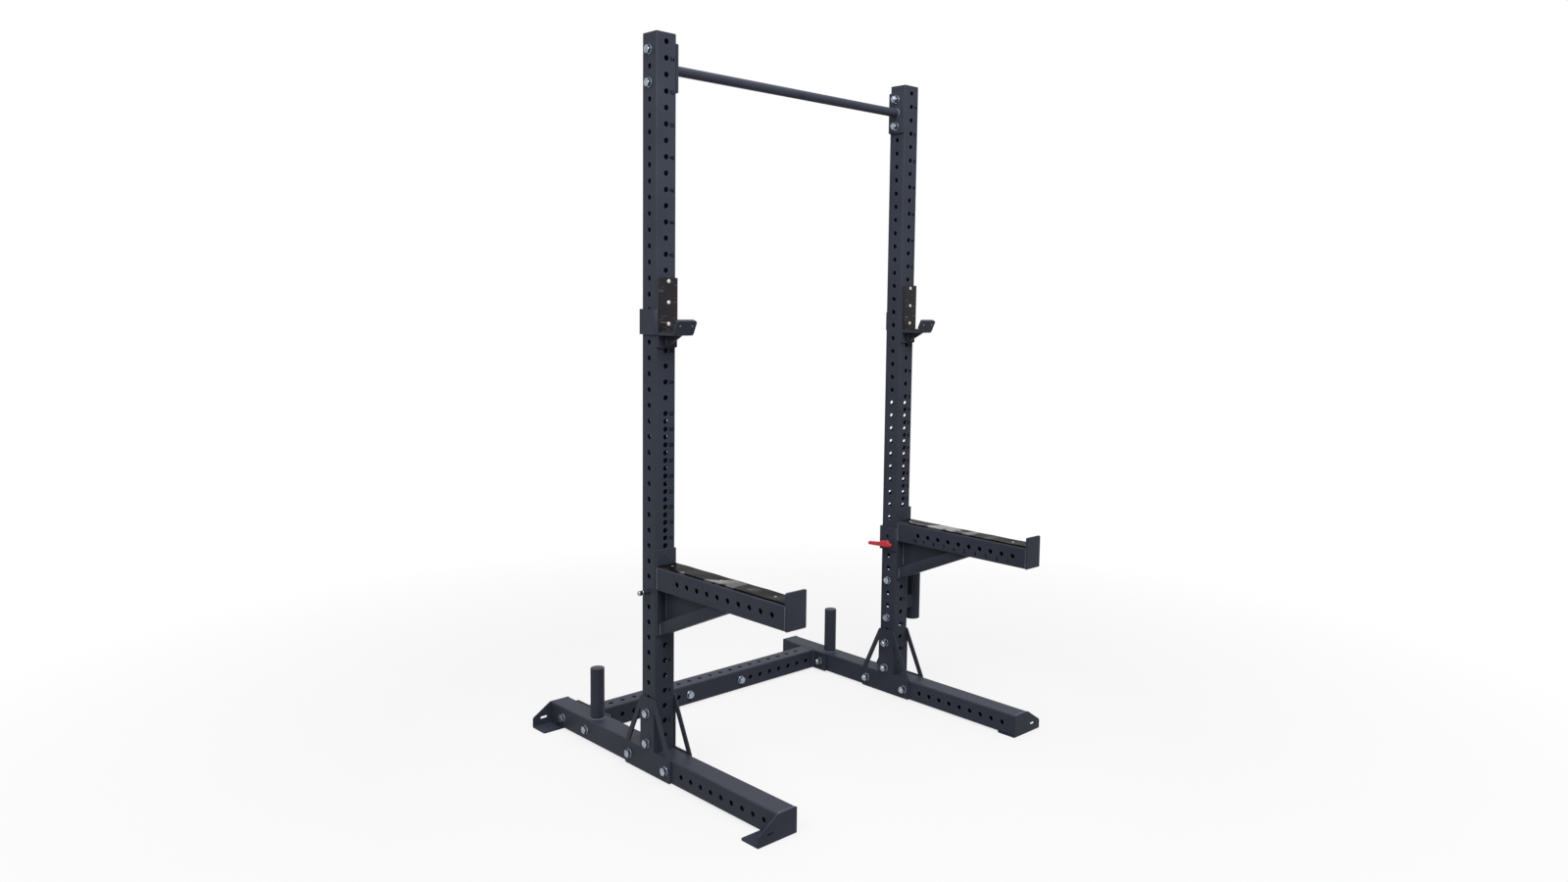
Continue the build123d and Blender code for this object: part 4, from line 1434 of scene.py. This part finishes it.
bolts, nuts, washers = bmesh.new(), bmesh.new(), bmesh.new()
for seat, out, grip in fasteners:
    far = seat - out * grip
    join(bolts, placed(hexagon(head_height, False), seat + out * washer_height, out))
    join(bolts, rod(-grip - washer_height - nut_height, washer_height, bolt_radius, seat, out))
    join(bolts, placed(thread(), far - out * (washer_height + nut_height), -out))
    join(nuts, placed(hexagon(nut_height, True), far - out * washer_height, -out))
    join(washers, placed(washer(), seat, out), placed(washer(), far, -out))
piece("zinc_hex_bolts", bolts, plated, "frame", ["hex_bolts"])
piece("zinc_hex_nuts", nuts, plated, "frame", ["hex_nuts"])
piece("flat_washers", washers, plated, "frame")
print("fasteners:", len(fasteners))

# %% [markdown]
# ## Weld beads
# The tubes and plates are joined by short fillet welds that are coated with the frame. A bead is a spun
# profile that swells once for every ripple the torch leaves, half sunk in the corner between the parts.
# Round joints get a ring with the same ripples.

# %% Bead helpers
bead_radius, thin_bead = 2.6 * mm, 2 * mm
ripple = 3.6 * mm
valley_at, crest_at = 0.15, 0.6
valley_share = 0.8
ring_section = [(-0.5, -1.0), (-0.5, 0.9), (0.35, 0.75), (0.8, 0.3), (1.0, -0.2), (-0.5, -1.0)]
ring_swell = 0.05


def bead(start, end, radius=bead_radius):
    start, end = Vector(start), Vector(end)
    length = (end - start).length
    count = max(3, round(length / ripple))
    step = length / count
    profile = [(0, 0)]
    for k in range(count):
        profile += [((k + valley_at) * step, radius * valley_share), ((k + crest_at) * step, radius)]
    profile += [(length, 0)]
    return lathe(profile, start, (end - start).normalized(), steps=10)


def bead_x(low, high, y, z, radius=bead_radius):
    return bead((low, y, z), (high, y, z), radius)


def bead_y(x, low, high, z, radius=bead_radius):
    return bead((x, low, z), (x, high, z), radius)


def bead_z(x, y, low, high, radius=bead_radius):
    return bead((x, y, low), (x, y, high), radius)


def bead_ring(radius, centre, axis, size):
    """A rippled ring round a tube that stands on a plate."""
    count = round(2 * pi * radius / ripple)
    section = [(along * size, radius + out * size) for along, out in ring_section]
    shape = lathe(section, steps=3 * count)
    for vert in shape.verts:
        angle = Vector((1, 0)).angle_signed(vert.co.xy)
        vert.co.xy *= 1 + ring_swell * sin(count * angle) * (vert.co.xy.length - radius) / size
    return placed(shape, centre, axis)


print("ripples of", ripple / mm, "mm")

# %% Welds
short_inset, long_inset = 4 * mm, 5 * mm
web_inset, web_tip_inset, rib_tip_inset = 8 * mm, 30 * mm, 14 * mm
peg_ring, bar_ring = 3.2 * mm, 2.8 * mm
bead_smooth = 60
left_x, right_x = upright_low.x, upright_high.x


def arm_welds():
    inset = short_inset
    shapes = []
    for y in (arm_low.y, arm_high.y):
        shapes += [bead_z(x, y, arm_low.z + inset, arm_high.z - inset) for x in (left_x, right_x)]
        shapes.append(bead_x(left_x + inset, right_x - inset, y, arm_low.z))
    climb = (brace_high.z - brace_low.z) / (brace_high.y - brace_low.y)
    cut_end = brace_low.y + (web_low.z - brace_low.z) / climb
    for x in (brace_low.x, brace_high.x):
        shapes.append(bead_z(x, brace_high.y, brace_low.z + inset, web_low.z - inset))
        shapes.append(bead_y(x, brace_low.y + inset, cut_end - inset, brace_high.z))
    for x in (web_low.x, web_high.x):
        shapes.append(bead_z(x, web_high.y, web_low.z + web_inset, web_high.z - web_inset, thin_bead))
        shapes.append(bead_y(x, web_low.y + web_tip_inset, web_high.y - web_inset, web_high.z, thin_bead))
    return joined(shapes)


def hook_welds():
    inset = long_inset
    shapes = [bead_x(left_x + inset, right_x - inset, seat_back, cup_low.z)]
    for x in (rib_low.x, rib_high.x):
        shapes.append(bead_z(x, seat_back, rib_low.z + inset, rib_high.z - inset, thin_bead))
        shapes.append(bead_y(x, rib_low.y + rib_tip_inset, rib_high.y - inset, rib_high.z, thin_bead))
    return joined(shapes)


def frame_welds():
    inset = long_inset
    shapes = [bead_ring(peg_radius, (peg_x, peg_y, peg_low.z), (0, 0, 1), peg_ring)]
    shapes.append(bead_ring(bar_radius, (bar_low.x, upright_y, bar_z), (1, 0, 0), bar_ring))
    for y in (cross_low.y, cross_high.y):
        shapes.append(bead_z(cross_low.x, y, cross_low.z + inset, cross_high.z - inset))
    shapes.append(bead_y(cross_low.x, cross_low.y + inset, cross_high.y - inset, cross_high.z))
    for y in (beam_low.y, beam_high.y):
        shapes.append(bead_x(left_x + inset, right_x - inset, y, beam_top, thin_bead))
    return joined(shapes)


def holder_welds():
    x, inset = block_low.x, short_inset
    shapes = [bead_z(x, y, block_low.z + inset, block_high.z - inset) for y in (block_low.y, block_high.y)]
    shapes += [bead_y(x, block_low.y + inset, block_high.y - inset, z) for z in (block_low.z, block_high.z)]
    return joined(shapes)


# the weld beads wear the finish with painted highlights
pair("arm_weld_beads", arm_welds, welded, "frame", smooth=bead_smooth)
pair("hook_weld_beads", hook_welds, welded, "hook", smooth=bead_smooth)
pair("frame_weld_beads", frame_welds, welded, "frame", smooth=bead_smooth)
piece("holder_weld_beads", holder_welds(), welded, "frame", smooth=bead_smooth)

# %% [markdown]
# ## Hole numbers
# Numbers help to set both sides alike, so every second hole of the uprights and each hole of the arms has
# one. Text is turned into a mesh first and then laid on the face. The numbers must read the right way
# round on both sides, so they are placed twice instead of mirrored.

# %% Numbers
number_size, arm_number_size = 17 * mm, 20 * mm
number_gap = 13 * mm
number_drop = 0.4 * number_size
number_height = 0.15 * mm
number_boldness = 0.4 * mm
arm_number_shift, arm_number_drop = 24 * mm, 27 * mm


def number(text, size, place):
    letters = bpy.data.curves.new("number", "FONT")
    letters.body = text
    letters.size = size
    letters.extrude = number_height
    letters.offset = number_boldness
    letters.resolution_u = 2
    holder = bpy.data.objects.new("number", letters)
    bpy.context.scene.collection.objects.link(holder)
    graph = bpy.context.evaluated_depsgraph_get()
    mesh = bpy.data.meshes.new_from_object(holder.evaluated_get(graph))
    bpy.data.objects.remove(holder)
    shape = bmesh.new()
    shape.from_mesh(mesh)
    bpy.data.meshes.remove(mesh)
    bmesh.ops.remove_doubles(shape, verts=shape.verts, dist=touch)
    return moved(shape, place)


for side, sign, faced in (("left", -1, "right"), ("right", 1, "left")):
    labels = bmesh.new()
    for index, z in enumerate(front_holes):
        count = len(front_holes) - index
        if count % 2 == 0 and z > beam_top + pitch:
            spot = (-sign * upright_x + number_gap, upright_low.y, z - number_drop)
            join(labels, number(str(count), number_size, facing("front", spot)))
    made = piece(f"{side}_upright_numbers", labels, inked, "frame")
    print(made.name, len(made.data.polygons), "faces")
    labels = bmesh.new()
    for index, y in enumerate(arm_row):
        spot = (-sign * upright_high.x, y + sign * arm_number_shift, arm_middle - arm_number_drop)
        join(labels, number(str(len(arm_row) - index), arm_number_size, facing(faced, spot)))
    piece(f"{side}_arm_numbers", labels, inked, "frame")

# %% [markdown]
# ## The floor
# The rack stands on a pale studio floor. Where a ray shows it as background, Light Path lifts it towards
# white, less so near the rack, where its shadow has to stay. Light that only bounces off it meets a
# mid-grey floor instead, so that the undersides of the steel stay dark without any change to the lamps.

# %% Floor
shadow_reach = 1.4
far_floor = 3.2
near_white = 0.78
floor_half = 30.0


def seen_rays(tree):
    """1 for rays that show a background: from the camera, off gloss or through glass."""
    path = tree.nodes.new("ShaderNodeLightPath")
    camera_ray, glossy, through = (
        Wire(tree, path.outputs[name]) for name in ("Is Camera Ray", "Is Glossy Ray", "Is Transmission Ray")
    )
    return camera_ray.math("MINIMUM", camera_ray + glossy + through, 1.0)


def studio_floor():
    material, shader, place = start_finish("studio_floor")
    tree = material.node_tree
    cloud = noise(place, scale=0.8, detail=2.0)
    seen = seen_rays(tree)
    pale = cloud.mix(rgb(205, 206, 207), rgb(211, 211, 212))
    feed(place, shader, "Base Color", seen.mix(rgb(105, 106, 107), pale))
    feed(place, shader, "Roughness", 0.75 + 0.1 * cloud)
    white = tree.nodes.new("ShaderNodeEmission")
    blend = tree.nodes.new("ShaderNodeMixShader")
    away = place.node("ShaderNodeVectorMath", {"operation": "LENGTH"}, output="Value", i0=place)
    whiteness = near_white + (1 - near_white) * away.between(shadow_reach, far_floor)
    for index, socket in enumerate([(seen * whiteness).socket, shader.outputs[0], white.outputs[0]]):
        tree.links.new(socket, blend.inputs[index])
    tree.links.new(blend.outputs[0], tree.nodes["Material Output"].inputs["Surface"])
    return material


shape = bmesh.new()
bmesh.ops.create_grid(shape, x_segments=1, y_segments=1, size=floor_half)
mesh = bpy.data.meshes.new("studio_floor")
shape.to_mesh(mesh)
shape.free()
mesh.materials.append(studio_floor())
floor = bpy.data.objects.new("studio_floor", mesh)
bpy.context.scene.collection.objects.link(floor)
print("floor", 2 * floor_half, "m wide")

# %% [markdown]
# ## World and lamps
# Three large lamps and a pale world give a soft, even light, as softboxes in a studio do. The world is white
# only for the rays that show it, and lights the steel with a little over a quarter of that.

# %% World and lamps
world_light = 0.28
world = bpy.data.worlds.new("studio_world")
world.use_nodes = True
tree = world.node_tree
background = tree.nodes["Background"]
background.inputs["Color"].default_value = (1.0, 1.0, 1.0, 1.0)
tree.links.new((seen_rays(tree) * (1 - world_light) + world_light).socket, background.inputs["Strength"])
bpy.context.scene.world = world


def soft_lamp(name, place, target, size, power):
    lamp = bpy.data.lights.new(name, "AREA")
    lamp.size = size
    lamp.energy = power
    made = bpy.data.objects.new(name, lamp)
    made.location = place
    made.rotation_euler = (Vector(target) - Vector(place)).to_track_quat("-Z", "Y").to_euler()
    bpy.context.scene.collection.objects.link(made)


soft_lamp("key_lamp", place=(-1.2, -3.2, 4.2), target=(0, 0, 2.0), size=2.2, power=165)
soft_lamp("fill_lamp", place=(-4.2, -0.8, 4.0), target=(0, 0, 2.0), size=2.6, power=90)
soft_lamp("top_lamp", place=(0.2, -0.2, 5.4), target=(0, 0, 0.6), size=3.4, power=110)
print("lamps:", len(bpy.data.lights), "world light", world_light)

# %% [markdown]
# ## The camera
# The hole rows of the rack have a known pitch, so fitting them to the picture gave the camera's place, its
# direction and its focal length in pixels. The picture's optical centre isn't its middle, which the lens
# shift takes up.

# %% Camera
view_width_px, view_height_px = 1600, 900
view_focal_px = 1155.613
view_centre_px = (882.481, 410.108)
view_place = (-2.672767, -2.967004, 1.550858)
view_yaw, view_pitch, view_roll = radians(45.678), radians(-5.144), radians(1.055)
sensor_width = 36.0

camera_data = bpy.data.cameras.new("photo_camera")
camera_data.sensor_fit = "HORIZONTAL"
camera_data.sensor_width = sensor_width
camera_data.lens = sensor_width * view_focal_px / view_width_px
camera_data.shift_x = (view_width_px / 2 - view_centre_px[0]) / view_width_px
camera_data.shift_y = (view_centre_px[1] - view_height_px / 2) / view_width_px
camera_data.clip_end = 100.0
camera = bpy.data.objects.new("photo_camera", camera_data)
ahead = Vector((sin(view_yaw) * cos(view_pitch), cos(view_yaw) * cos(view_pitch), sin(view_pitch)))
level_right = Vector((cos(view_yaw), -sin(view_yaw), 0.0))
level_up = level_right.cross(ahead)
right = level_right * cos(view_roll) + level_up * sin(view_roll)
up = level_up * cos(view_roll) - level_right * sin(view_roll)
turn = Matrix((right, up, -ahead)).transposed().to_4x4()
camera.matrix_world = Matrix.Translation(view_place) @ turn
bpy.context.scene.collection.objects.link(camera)
bpy.context.scene.camera = camera
print("camera lens", round(camera_data.lens, 2))
